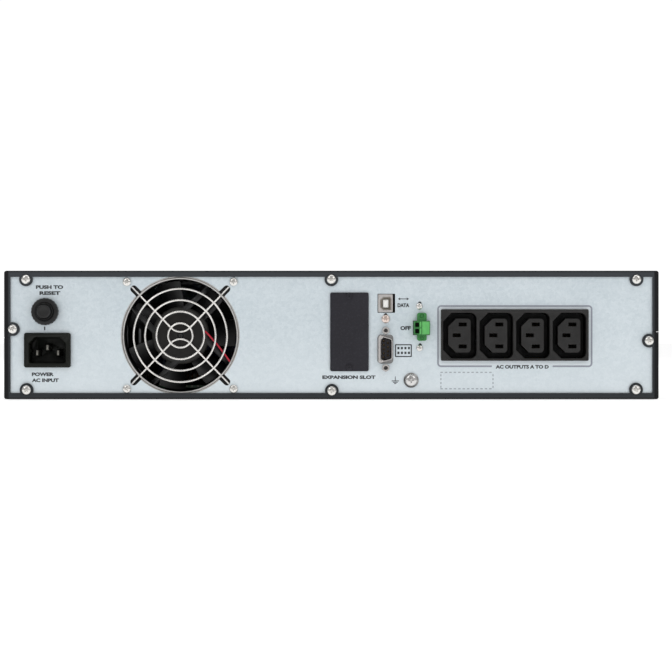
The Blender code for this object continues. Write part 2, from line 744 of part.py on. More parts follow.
# ---------------------------------------------------------------- option slot, data ports, relay port, earth
def build_ports(mats):
    y = Y_PANEL
    make(
        "slot_cover",
        mats["slot_paint"],
        prism(rounded(SLOT_X0, SLOT_Z0, SLOT_X1, SLOT_Z1, 1.2, 2), "Y", y - GAP - SHEET, y - GAP),
        cut=[screw_holes(SLOT_SCREWS, y0=-215.0, y1=-200.0)],
    )
    for name, (x, z) in zip(("top", "bottom"), SLOT_SCREWS):
        screw(f"slot_screw_{name}", mats["black_screw"], x, z, y - GAP - SHEET, head_r=2.0, head_h=1.3)

    # USB type B receptacle lying on its side, its square corners away from the option slot.
    port = rounded(33.0, 59.8, 39.8, 68.2, 0.6, 1, corners="bc", chamfer="ad:1.9")
    make(
        "usb_shell",
        mats["nickel"],
        prism(rounded(31.3, 58.3, 41.1, 70.2, 0.5, 1), "Y", y - 0.4, y + 16.0),
        cut=[prism(port, "Y", y - 5, y + 13.0)],
    )
    make(
        "usb_tongue",
        mats["white_plastic"],
        prism(rounded(34.5, 61.3, 38.3, 66.7, 0.4, 1), "Y", y + 1.0, y + 12.6),
    )
    screw("usb_screw", mats["copper_screw"], *USB_SCREW, y, head_r=2.85, head_h=1.8)

    # Nine-way D-sub socket, upright, its wider side towards the option slot.
    d_outer = d_outline(31.3, 41.0, 24.3, 42.8, 1.7, 2.4)
    d_inner = d_outline(33.3, 40.2, 25.5, 41.6, 1.4, 1.6)
    d_insert = d_outline(33.6, 39.9, 25.8, 41.3, 1.3, 1.4)
    make(
        "serial_shell",
        mats["nickel"],
        prism(d_outer, "Y", y - 4.6, y + 3.2),
        add=[prism(rounded(30.2, 17.2, 42.2, 49.8, 1.5, 1), "Y", y + SHEET + GAP, y + SHEET + GAP + 1.2)],
        cut=[
            prism(d_inner, "Y", y - 9, y + 9),
            [rod(x, z, 2.1, y - 9, y + 9, 8) for x, z in JACKS],
        ],
    )
    make(
        "serial_insert",
        mats["black_plastic"],
        prism(d_insert, "Y", y - 4.0, y + 9.0),
        cut=[[rod(x, z, 0.55, y - 9, y + 2.0, 6) for x, z in serial_pins()]],
    )
    for name, (x, z) in zip(("top", "bottom"), JACKS):
        make(
            f"serial_jackscrew_{name}",
            mats["nickel"],
            prism(circle(x, z, 2.7, 6, turn=math.pi / 6), "Y", y - 4.8, y - GAP),
            add=[rod(x, z, 1.4, y - 1.0, y + 9.0, 8)],
            cut=[rod(x, z, 1.25, y - 9.0, y - 1.2, 8)],
        )

    # Two-way pluggable terminal: a header on the board behind, and the plug that pulls off it.
    x0, x1, z0, z1 = EPO_X0, EPO_X1, EPO_Z0, EPO_Z1
    mid = (z0 + z1) / 2
    make(
        "epo_header",
        mats["green_plastic"],
        block(x0, x1, y - 0.2, y + 13.0, z0, z1),
        cut=[block(x0 + 1.1, x1 - 1.1, y - 5, y + 9.5, z0 + 1.1, z1 - 1.1)],
    )
    slope = [(y - 8.0, x0 + 0.0), (y - 8.0, x0 + 5.2), (y - 6.6, x1), (y - 0.6, x1), (y - 0.6, x0)]
    body = prism([(b, a) for a, b in slope], "Z", z0, z1)
    make(
        "epo_plug",
        mats["green_plastic"],
        body,
        add=[
            block(57.3, 63.7, y - 4.2, y - 0.6, 39.1, 57.8),
            block(x0 + 1.5, x1 - 1.5, y - 1.0, y + 8.0, z0 + 1.5, z1 - 1.5),
        ],
        cut=[
            [block(56.0, 58.6, y - 12.0, y - 2.0, z - 1.45, z + 1.45) for z in (49.8, 45.6)]
            + [rod(60.5, z, 1.3, y - 12.0, y - 3.4, 8) for z in (41.2, 55.7)]
            + [block(60.2, 61.0, y + 1.0, y + 12.0, mid - 2.2 - 0.4 + s * 2.2 + 2.2 - 0.0, mid - 2.2 + 0.4 + s * 2.2 + 2.2) for s in (-1, 1)],
        ],
        origin=(60.35, y, mid),
    )
    for name, (x, z) in zip(("top", "bottom"), EPO_SCREWS):
        screw(f"epo_screw_{name}", mats["zinc_screw"], x, z, y, head_r=2.2, head_h=1.5)
    screw("ground_screw", mats["zinc_screw"], *GROUND, y, head_r=3.9, head_h=2.8, shank_r=1.8, length=10.0, washer_r=5.0, n=16)


def d_outline(x0, x1, z0, z1, r, taper):
    """The outline of a D connector standing upright, its wide side at x0."""
    out = []
    out += arc(x0 + r, z0 + r, r, 180, 270 + 10, 3)
    out += arc(x1 - r, z0 + taper + r * 0.9, r, 280, 360, 3)
    out += arc(x1 - r, z1 - taper - r * 0.9, r, 0, 80, 3)
    out += arc(x0 + r, z1 - r, r, 80, 180, 3)
    return out


def serial_pins():
    pins = [(35.0, SERIAL_Z + 2.77 * (i - 2)) for i in range(5)]
    pins += [(37.8, SERIAL_Z + 2.77 * (i - 1.5)) for i in range(4)]
    return pins


# ---------------------------------------------------------------- inside
def build_inside(mats):
    x0, x1, y0, y1 = BOARD
    make("main_board", mats["board"], block(x0, x1, y0, y1, BOARD_Z, BOARD_Z + 1.6))
    make("comm_board", mats["board"], block(43.4, 45.0, Y_PANEL_IN + 3.0, -118.0, 14.0, 80.0))

    fins, pitch, left = 8, 9.0, -196.0
    comb = [(left, 12.0), (left + pitch * (fins - 1) + 2.4, 12.0)]
    for k in reversed(range(fins)):
        x = left + pitch * k
        comb += [(x + 2.4, 56.0), (x, 56.0)]
        if k:
            comb += [(x, 17.0), (x - pitch + 2.4, 17.0)]
    make("heatsink", mats["bare_aluminium"], prism(comb, "Y", -160.0, -62.0))

    make(
        "transformer",
        mats["steel_core"],
        block(120.0, 190.0, 70.0, 112.0, 4.0, 62.0),
        add=[prism(rounded(134.0, 16.0, 176.0, 50.0, 4.0, 2), "Y", 54.0, 128.0)],
    )
    for i, (bx, by) in enumerate(((-212.0, 82.0), (-59.0, 82.0), (-212.0, -20.0))):
        tabs = [block(bx + t - 3.2, bx + t + 3.2, by - 6.0, by + 2.0, 54.0, 54.9) for t in (12.0, 139.0)]
        make(
            f"battery_{i + 1}",
            mats["battery_case"],
            prism(rounded(bx, 2.2, bx + 151.0, 67.2, 2.0, 1), "Y", by, by + 94.0),
            add=[tabs],
        )
    strap = [(-213.0, 68.0), (94.6, 68.0), (94.6, 3.0), (108.0, 3.0), (108.0, 4.2), (95.8, 4.2), (95.8, 69.2), (-213.0, 69.2)]
    make("battery_bracket", mats["zinc_sheet"], prism(strap, "Y", 110.0, 144.0))


# ---------------------------------------------------------------- bezel
WINDOW = (18.0, 28.0, 92.0, 64.0)
POWER = (150.0, 43.0, 8.0)
MENU = (116.0, 43.0, 5.0)


def build_bezel(mats):
    half = CASE_W / 2
    back, front, wall = Y_CASE_FRONT + GAP, Y_BEZEL_FRONT, 3.4
    cavity = front - wall
    shell = object_of(prism(rounded(-half, 0.0, half, CASE_H, 2.0, 2), "Y", back, front), "shell")
    bevel = shell.modifiers.new("front_edge", "BEVEL")
    bevel.width = 3.0 * MM
    bevel.segments = 2
    bevel.limit_method = "VGROUP"
    group = shell.vertex_groups.new(name="front")
    group.add([v.index for v in shell.data.vertices if v.co.y > (front - 0.01) * MM], 1.0, "REPLACE")
    bevel.vertex_group = "front"
    graph = bpy.context.evaluated_depsgraph_get()
    bm = bmesh.new()
    bm.from_mesh(shell.evaluated_get(graph).to_mesh())
    bpy.data.objects.remove(shell, do_unlink=True)
    bmesh.ops.recalc_face_normals(bm, faces=bm.faces)

    hooks = []
    for x, z in LATCHES:
        profile = [(cavity + 1.0, z - 1.1), (cavity + 1.0, z + 1.1), (Y_CASE_FRONT - 9.5, z + 1.1), (Y_CASE_FRONT - 9.5, z + 1.8), (Y_CASE_FRONT - 10.5, z + 1.8), (Y_CASE_FRONT - 13.5, z + 1.1), (Y_CASE_FRONT - 13.5, z - 1.1)]
        hooks.append(prism(profile, "X", x - 5.5, x + 5.5))
    slots = [block(x - 1.5, x + 1.5, cavity - 3, front + 5, 12.0, 74.0) for x in [-200.0 + 9.0 * i for i in range(22)] + [178.0 + 9.0 * i for i in range(4)]]
    make(
        "front_bezel",
        mats["bezel_plastic"],
        bm,
        cut=[
            block(-half + 3.0, half - 3.0, back - 5, cavity, 3.0, CASE_H - 3.0),
            slots
            + [
                block(WINDOW[0] - GAP, WINDOW[2] + GAP, cavity - 3, front + 5, WINDOW[1] - GAP, WINDOW[3] + GAP),
                rod(POWER[0], POWER[1], POWER[2] + 0.4, cavity - 3, front + 5, 24),
                rod(MENU[0], MENU[1], MENU[2] + 0.4, cavity - 3, front + 5, 16),
            ],
        ],
    )
    bezel = bpy.data.objects["front_bezel"]
    combine(bezel, object_of(merged(hooks), "tool"), "UNION")
    bezel.data.name = "front_bezel"
    bezel.data.materials.clear()
    bezel.data.materials.append(mats["bezel_plastic"])
    make("display_window", mats["window"], prism(rounded(*WINDOW, 2.0, 2), "Y", cavity + 0.6, front - 0.6))
    make("display_board", mats["board"], block(12.0, 168.0, cavity - 11.0, cavity - 9.4, 20.0, 68.0))
    for name, (x, z, r), n in (("power_button", POWER, 24), ("menu_button", MENU, 16)):
        make(
            name,
            mats["button_plastic"],
            turned(
                [
                    (0.0, front - 0.3),
                    (r - 0.8, front - 0.4),
                    (r, front - 1.0),
                    (r, cavity - 1.6),
                    (r + 1.4, cavity - 1.6),
                    (r + 1.4, cavity - 3.0),
                    (2.0, cavity - 3.0),
                    (2.0, cavity - 6.6),
                    (0.0, cavity - 6.6),
                ],
                x,
                z,
                n,
            ),
            origin=(x, cavity, z),
        )


def main():
    clear_scene()
    mats = {
        "case_paint": material("case_paint", (0.035, 0.037, 0.040), 0.55),
        "zinc_sheet": material("zinc_sheet", (0.60, 0.66, 0.69), 0.45, 0.6),
        "zinc_screw": material("zinc_screw", (0.72, 0.72, 0.71), 0.28, 1.0),
        "black_screw": material("black_screw", (0.03, 0.03, 0.032), 0.4, 0.6),
        "copper_screw": material("copper_screw", (0.80, 0.68, 0.62), 0.28, 1.0),
        "chrome_wire": material("chrome_wire", (0.78, 0.77, 0.75), 0.2, 1.0),
        "nickel": material("nickel", (0.70, 0.69, 0.67), 0.28, 1.0),
        "fan_plastic": material("fan_plastic", (0.012, 0.012, 0.012), 0.45),
        "red_lead": material("red_lead", (0.45, 0.02, 0.03), 0.4),
        "inlet_plastic": material("inlet_plastic", (0.012, 0.013, 0.011), 0.4),
        "outlet_plastic": material("outlet_plastic", (0.030, 0.028, 0.027), 0.42),
        "black_plastic": material("black_plastic", (0.022, 0.022, 0.022), 0.45),
        "dark_plastic": material("dark_plastic", (0.040, 0.040, 0.040), 0.4),
        "white_plastic": material("white_plastic", (0.85, 0.84, 0.80), 0.4),
        "green_plastic": material("green_plastic", (0.05, 0.30, 0.06), 0.4),
        "slot_paint": material("slot_paint", (0.035, 0.035, 0.042), 0.5),
        "board": material("board", (0.02, 0.12, 0.05), 0.5),
        "bare_aluminium": material("bare_aluminium", (0.75, 0.75, 0.75), 0.35, 1.0),
        "steel_core": material("steel_core", (0.20, 0.19, 0.17), 0.5, 0.7),
        "battery_case": material("battery_case", (0.03, 0.03, 0.035), 0.5),
        "bezel_plastic": material("bezel_plastic", (0.018, 0.018, 0.020), 0.5),
        "button_plastic": material("button_plastic", (0.10, 0.10, 0.11), 0.4),
        "window": material("window", (0.01, 0.012, 0.016), 0.1),
    }
    build_case(mats)
    build_panel(mats)
    build_fan(mats)
    build_mains(mats)
    build_outlets(mats)
    build_ports(mats)
    build_inside(mats)
    build_bezel(mats)


main()
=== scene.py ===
"""Looks for the rack-mount UPS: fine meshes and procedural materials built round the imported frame."""

import math
import random

import bmesh
import bpy
from mathutils import Matrix, Vector


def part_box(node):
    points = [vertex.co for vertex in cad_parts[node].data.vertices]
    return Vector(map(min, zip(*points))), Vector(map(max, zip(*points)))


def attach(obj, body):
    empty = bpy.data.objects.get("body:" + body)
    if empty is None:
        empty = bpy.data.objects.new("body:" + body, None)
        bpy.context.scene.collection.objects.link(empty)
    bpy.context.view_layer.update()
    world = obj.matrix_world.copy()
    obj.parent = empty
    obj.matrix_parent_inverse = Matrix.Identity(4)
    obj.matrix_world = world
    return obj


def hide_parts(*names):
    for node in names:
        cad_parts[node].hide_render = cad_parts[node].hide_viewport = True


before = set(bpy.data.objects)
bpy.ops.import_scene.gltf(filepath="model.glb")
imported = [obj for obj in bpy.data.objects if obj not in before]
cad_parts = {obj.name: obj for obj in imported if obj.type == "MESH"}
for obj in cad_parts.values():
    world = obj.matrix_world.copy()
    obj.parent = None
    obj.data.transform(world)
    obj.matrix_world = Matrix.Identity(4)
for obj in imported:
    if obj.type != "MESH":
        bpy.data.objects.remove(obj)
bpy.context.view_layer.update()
MM = 0.001
RNG = random.Random(7)


def nbox(node):
    """A node's box in millimetres: x0, y0, z0, x1, y1, z1."""
    lo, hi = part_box(node)
    return [c * 1000 for c in (*lo, *hi)]


# ------------------------------------------------------------------ materials
class Nodes:
    """A short way to write a node tree."""

    def __init__(self, name):
        self.mat = bpy.data.materials.new(name)
        self.mat.use_nodes = True
        self.tree = self.mat.node_tree
        self.bsdf = self.tree.nodes["Principled BSDF"]
        self.coord = self.new("ShaderNodeTexCoord")

    def new(self, kind, **settings):
        node = self.tree.nodes.new(kind)
        for key, value in settings.items():
            if key in node.inputs:
                node.inputs[key].default_value = value
            else:
                setattr(node, key, value)
        return node

    def link(self, a, b):
        self.tree.links.new(a, b)

    def noise(self, scale, detail=3.0, rough=0.5, stretch=None, dims="3D"):
        node = self.new("ShaderNodeTexNoise", noise_dimensions=dims)
        node.inputs["Scale"].default_value = scale
        node.inputs["Detail"].default_value = detail
        node.inputs["Roughness"].default_value = rough
        source = self.coord.outputs["Object"]
        if stretch:
            mapping = self.new("ShaderNodeMapping")
            mapping.inputs["Scale"].default_value = stretch
            self.link(source, mapping.inputs["Vector"])
            source = mapping.outputs["Vector"]
        self.link(source, node.inputs["Vector"])
        return node.outputs["Fac"]

    def cells(self, scale, feature="F1", out="Color", randomness=1.0):
        node = self.new("ShaderNodeTexVoronoi", feature=feature)
        node.inputs["Scale"].default_value = scale
        node.inputs["Randomness"].default_value = randomness
        self.link(self.coord.outputs["Object"], node.inputs["Vector"])
        return node.outputs[out]

    def span(self, value, lo, hi, out_lo=0.0, out_hi=1.0):
        node = self.new("ShaderNodeMapRange")
        node.inputs["From Min"].default_value = lo
        node.inputs["From Max"].default_value = hi
        node.inputs["To Min"].default_value = out_lo
        node.inputs["To Max"].default_value = out_hi
        self.link(value, node.inputs["Value"])
        return node.outputs["Result"]

    def math(self, op, a, b=None):
        node = self.new("ShaderNodeMath", operation=op)
        for k, value in enumerate((a, b)):
            if value is None:
                continue
            if isinstance(value, (int, float)):
                node.inputs[k].default_value = value
            else:
                self.link(value, node.inputs[k])
        return node.outputs[0]

    def blend(self, fac, a, b):
        """Colour a to colour b by fac. a and b are tuples or sockets."""
        node = self.new("ShaderNodeMix", data_type="RGBA")
        if isinstance(fac, (int, float)):
            node.inputs["Factor"].default_value = fac
        else:
            self.link(fac, node.inputs["Factor"])
        for key, value in (("A", a), ("B", b)):
            socket = [s for s in node.inputs if s.name == key and s.type == "RGBA"][0]
            if isinstance(value, tuple):
                socket.default_value = (*value, 1.0) if len(value) == 3 else value
            else:
                self.link(value, socket)
        return [s for s in node.outputs if s.type == "RGBA"][0]

    def edges(self, radius):
        """A mask that is 1 on sharp edges, from the difference of rounded and true normals."""
        bevel = self.new("ShaderNodeBevel", samples=4)
        bevel.inputs["Radius"].default_value = radius
        geometry = self.new("ShaderNodeNewGeometry")
        dot = self.new("ShaderNodeVectorMath", operation="DOT_PRODUCT")
        self.link(bevel.outputs["Normal"], dot.inputs[0])
        self.link(geometry.outputs["Normal"], dot.inputs[1])
        return self.span(dot.outputs["Value"], 0.999, 0.90)

    def bump(self, height, strength, distance=0.0002, normal=None):
        node = self.new("ShaderNodeBump")
        node.inputs["Strength"].default_value = strength
        node.inputs["Distance"].default_value = distance
        self.link(height, node.inputs["Height"])
        if normal is not None:
            self.link(normal, node.inputs["Normal"])
        return node.outputs["Normal"]


def finish(colour, rough, metallic=0.0, tint=None, grain=900.0, bump=0.15, mottle=90.0, vary=0.12, wear=None, wear_r=0.0004, dist=0.00006, spec=None, coat=None, name="look", rough_var=0.10, stretch=None, mouth=None, recess_shade=(0.003, 0.003, 0.003)):
    """A general worked material: colour mottling, grain in the bump, uneven roughness, worn edges and, past a given
    mouth, painted shade that darkens a recess.
    """
    n = Nodes(name)
    other = tint or tuple(min(1.0, c * (1 + vary)) for c in colour)
    dark = tuple(c * (1 - vary) for c in colour)
    soft = n.span(n.noise(mottle, 4.0, 0.55, stretch), 0.3, 0.7)
    base = n.blend(soft, dark, other)
    fine = n.noise(grain, 2.0, 0.6, stretch)
    base = n.blend(n.span(fine, 0.45, 0.75, 0.0, 0.35), base, other)
    if mouth is not None:
        # Painted shade in a recess: the colour darkens from the mouth inwards.
        sep = n.new("ShaderNodeSeparateXYZ")
        n.link(n.coord.outputs["Object"], sep.inputs[0])
        base = n.blend(n.span(sep.outputs["Y"], mouth + 0.0010, mouth + 0.0040, 0.0, 0.85), base, recess_shade)
    if wear:
        mask = n.math("MULTIPLY", n.edges(wear_r), n.span(n.noise(mottle * 3, 3.0), 0.35, 0.65, 0.15, 1.0))
        base = n.blend(n.math("MULTIPLY", mask, 0.7), base, wear)
    n.link(base, n.bsdf.inputs["Base Color"])
    n.link(n.span(n.noise(mottle * 1.7, 4.0, 0.6, stretch), 0.3, 0.7, max(0.03, rough - rough_var), min(1.0, rough + rough_var)), n.bsdf.inputs["Roughness"])
    n.bsdf.inputs["Metallic"].default_value = metallic
    n.link(n.bump(fine, bump, dist), n.bsdf.inputs["Normal"])
    if spec is not None:
        n.bsdf.inputs["Specular IOR Level"].default_value = spec
    if coat is not None:
        n.bsdf.inputs["Coat Weight"].default_value = coat
        n.bsdf.inputs["Coat Roughness"].default_value = 0.15
    return n.mat


def zinc_sheet_look():
    """Zinc-plated sheet: pale blue-grey, with fine crystal mottling, faint rolling lines and painted light that pales
    it towards the bottom.
    """
    n = Nodes("zinc_sheet")
    spangle = n.cells(520.0, out="Color")
    sep = n.new("ShaderNodeSeparateColor")
    n.link(spangle, sep.inputs["Color"])
    fine = n.noise(1500.0, 3.0, 0.65)
    broad = n.noise(22.0, 4.0, 0.55)
    tone = n.math("ADD", n.math("MULTIPLY", sep.outputs["Red"], 0.35), n.math("MULTIPLY", fine, 0.9))
    tone = n.math("ADD", tone, n.math("MULTIPLY", broad, 0.8))
    base = n.blend(n.span(tone, 0.62, 1.42), (0.575, 0.655, 0.700), (0.722, 0.792, 0.832))
    # Painted light: the colour pales towards the bottom of the sheet, standing in for the brighter light that falls
    # there.
    height = n.new("ShaderNodeSeparateXYZ")
    n.link(n.coord.outputs["Object"], height.inputs[0])
    base = n.blend(n.span(height.outputs["Z"], 0.050, 0.004, 0.03, 0.48), base, (0.84, 0.90, 0.93))
    n.link(base, n.bsdf.inputs["Base Color"])
    rolled = n.noise(260.0, 3.0, 0.6, stretch=(0.04, 1.0, 2.2))
    n.link(n.span(n.math("ADD", n.math("MULTIPLY", sep.outputs["Green"], 0.3), rolled), 0.3, 1.0, 0.38, 0.60), n.bsdf.inputs["Roughness"])
    n.bsdf.inputs["Metallic"].default_value = 0.35
    n.link(n.bump(n.math("ADD", fine, n.math("MULTIPLY", rolled, 0.5)), 0.10, 0.00005), n.bsdf.inputs["Normal"])
    return n.mat


def powder_coat_look(name, colour, light, spec=0.45, worn=(0.20, 0.205, 0.21), painted_lip_light=None):
    """Fine-textured powder coat with rubbed edges and faint dust, and, given a border colour, painted light on the rear
    lip's face.
    """
    n = Nodes(name)
    pebble = n.noise(1100.0, 2.0, 0.5)
    patch = n.noise(26.0, 4.0, 0.5)
    base = n.blend(n.span(patch, 0.35, 0.7), colour, light)
    base = n.blend(n.span(pebble, 0.5, 0.8, 0.0, 0.5), base, tuple(min(1, c * 1.5) for c in light))
    if painted_lip_light:
        # Painted light: the front face of the rear lip takes a lighter colour, standing in for light caught on its
        # rounded edges, with less of it towards the bottom.
        sep = n.new("ShaderNodeSeparateXYZ")
        n.link(n.coord.outputs["Object"], sep.inputs[0])
        away = n.math("ABSOLUTE", n.math("SUBTRACT", sep.outputs["Z"], 0.043))
        front = n.span(sep.outputs["Y"], -0.20735, -0.20765)
        side = n.span(n.math("ABSOLUTE", sep.outputs["X"]), 0.2166, 0.2156)
        run = n.math("MULTIPLY", side, n.span(away, 0.0428, 0.0416))
        run = n.math("MULTIPLY", run, n.span(sep.outputs["Z"], 0.020, 0.060, 0.62, 1.0))
        base = n.blend(n.math("MULTIPLY", run, front), base, painted_lip_light)
    mask = n.math("MULTIPLY", n.edges(0.0006), n.span(n.noise(160.0, 4.0), 0.42, 0.68, 0.0, 0.55))
    base = n.blend(mask, base, worn)
    n.link(base, n.bsdf.inputs["Base Color"])
    n.link(n.span(n.noise(55.0, 4.0, 0.5), 0.3, 0.7, 0.49, 0.56), n.bsdf.inputs["Roughness"])
    n.link(n.bump(pebble, 0.35, 0.00008), n.bsdf.inputs["Normal"])
    n.bsdf.inputs["Specular IOR Level"].default_value = spec
    return n.mat


def metal_look(name, colour, rough, vary=0.08, brush=None, dirt=0.07, spots=380.0, rim=None):
    """Plated metal: slight colour drift, fine scratches, grime in the low spots. rim is x, z and two radii in metres of
    a painted shadow: a dark ring round a screw head, deepest to the lower left.
    """
    n = Nodes(name)
    drift = n.noise(420.0, 4.0, 0.6)
    scratch = n.noise(2400.0, 2.0, 0.5, stretch=brush or (1.0, 1.0, 0.15))
    base = n.blend(n.span(drift, 0.35, 0.7), tuple(c * (1 - vary) for c in colour), colour)
    base = n.blend(n.span(n.noise(spots, 4.0, 0.6), 0.50, 0.72, 0.0, dirt), base, tuple(c * 0.35 for c in colour))
    if rim:
        # Painted shadow: a dark crescent outside the given radius, deepest to the lower left.
        sep = n.new("ShaderNodeSeparateXYZ")
        n.link(n.coord.outputs["Object"], sep.inputs[0])
        dx, dz = n.math("SUBTRACT", sep.outputs["X"], rim[0]), n.math("SUBTRACT", sep.outputs["Z"], rim[1])
        far = n.math("SQRT", n.math("ADD", n.math("MULTIPLY", dx, dx), n.math("MULTIPLY", dz, dz)))
        low = n.span(n.math("ADD", dx, n.math("MULTIPLY", dz, 1.4)), 0.0045, -0.0045, 0.45, 0.95)
        base = n.blend(n.math("MULTIPLY", n.span(far, rim[2], rim[3]), low), base, tuple(c * 0.10 for c in colour))
    n.link(base, n.bsdf.inputs["Base Color"])
    n.bsdf.inputs["Metallic"].default_value = 1.0
    n.link(n.span(scratch, 0.3, 0.7, max(0.05, rough - 0.08), rough + 0.12), n.bsdf.inputs["Roughness"])
    n.link(n.bump(scratch, 0.10, 0.00002), n.bsdf.inputs["Normal"])
    return n.mat


def board_look():
    """Circuit board: green solder mask, buried tracks a shade lighter, round pads."""
    n = Nodes("board_mask")
    tracks = n.cells(420.0, feature="DISTANCE_TO_EDGE", out="Distance", randomness=0.25)
    line = n.span(tracks, 0.10, 0.16, 1.0, 0.0)
    base = n.blend(line, (0.007, 0.048, 0.020), (0.014, 0.095, 0.036))
    pad = n.span(n.cells(260.0, out="Distance", randomness=0.6), 0.16, 0.20, 1.0, 0.0)
    base = n.blend(n.math("MULTIPLY", pad, 0.8), base, (0.30, 0.28, 0.22))
    n.link(base, n.bsdf.inputs["Base Color"])
    n.link(n.span(n.noise(60.0, 3.0), 0.3, 0.7, 0.28, 0.45), n.bsdf.inputs["Roughness"])
    n.link(n.bump(line, 0.3, 0.00004), n.bsdf.inputs["Normal"])
    return n.mat


def print_look(name="panel_ink", dark=(0.030, 0.034, 0.038), light=(0.075, 0.083, 0.092)):
    """Screen-printed ink, slightly broken at its edges."""
    n = Nodes(name)
    worn = n.noise(2600.0, 3.0, 0.7)
    base = n.blend(n.span(worn, 0.45, 0.8), dark, light)
    n.link(base, n.bsdf.inputs["Base Color"])
    n.link(n.span(worn, 0.3, 0.7, 0.5, 0.7), n.bsdf.inputs["Roughness"])
    n.link(n.bump(worn, 0.1, 0.00001), n.bsdf.inputs["Normal"])
    return n.mat


def window_look():
    """Smoked glossy window over a dark display."""
    n = Nodes("smoked_window")
    haze = n.noise(120.0, 4.0, 0.6)
    base = n.blend(n.span(haze, 0.3, 0.7), (0.006, 0.008, 0.011), (0.014, 0.017, 0.022))
    n.link(base, n.bsdf.inputs["Base Color"])
    n.link(n.span(n.noise(300.0, 4.0, 0.7), 0.35, 0.75, 0.06, 0.16), n.bsdf.inputs["Roughness"])
    n.bsdf.inputs["Specular IOR Level"].default_value = 0.22
    n.bsdf.inputs["Coat Weight"].default_value = 0.05
    n.bsdf.inputs["Coat Roughness"].default_value = 0.04
    n.link(n.bump(haze, 0.02, 0.00005), n.bsdf.inputs["Normal"])
    return n.mat


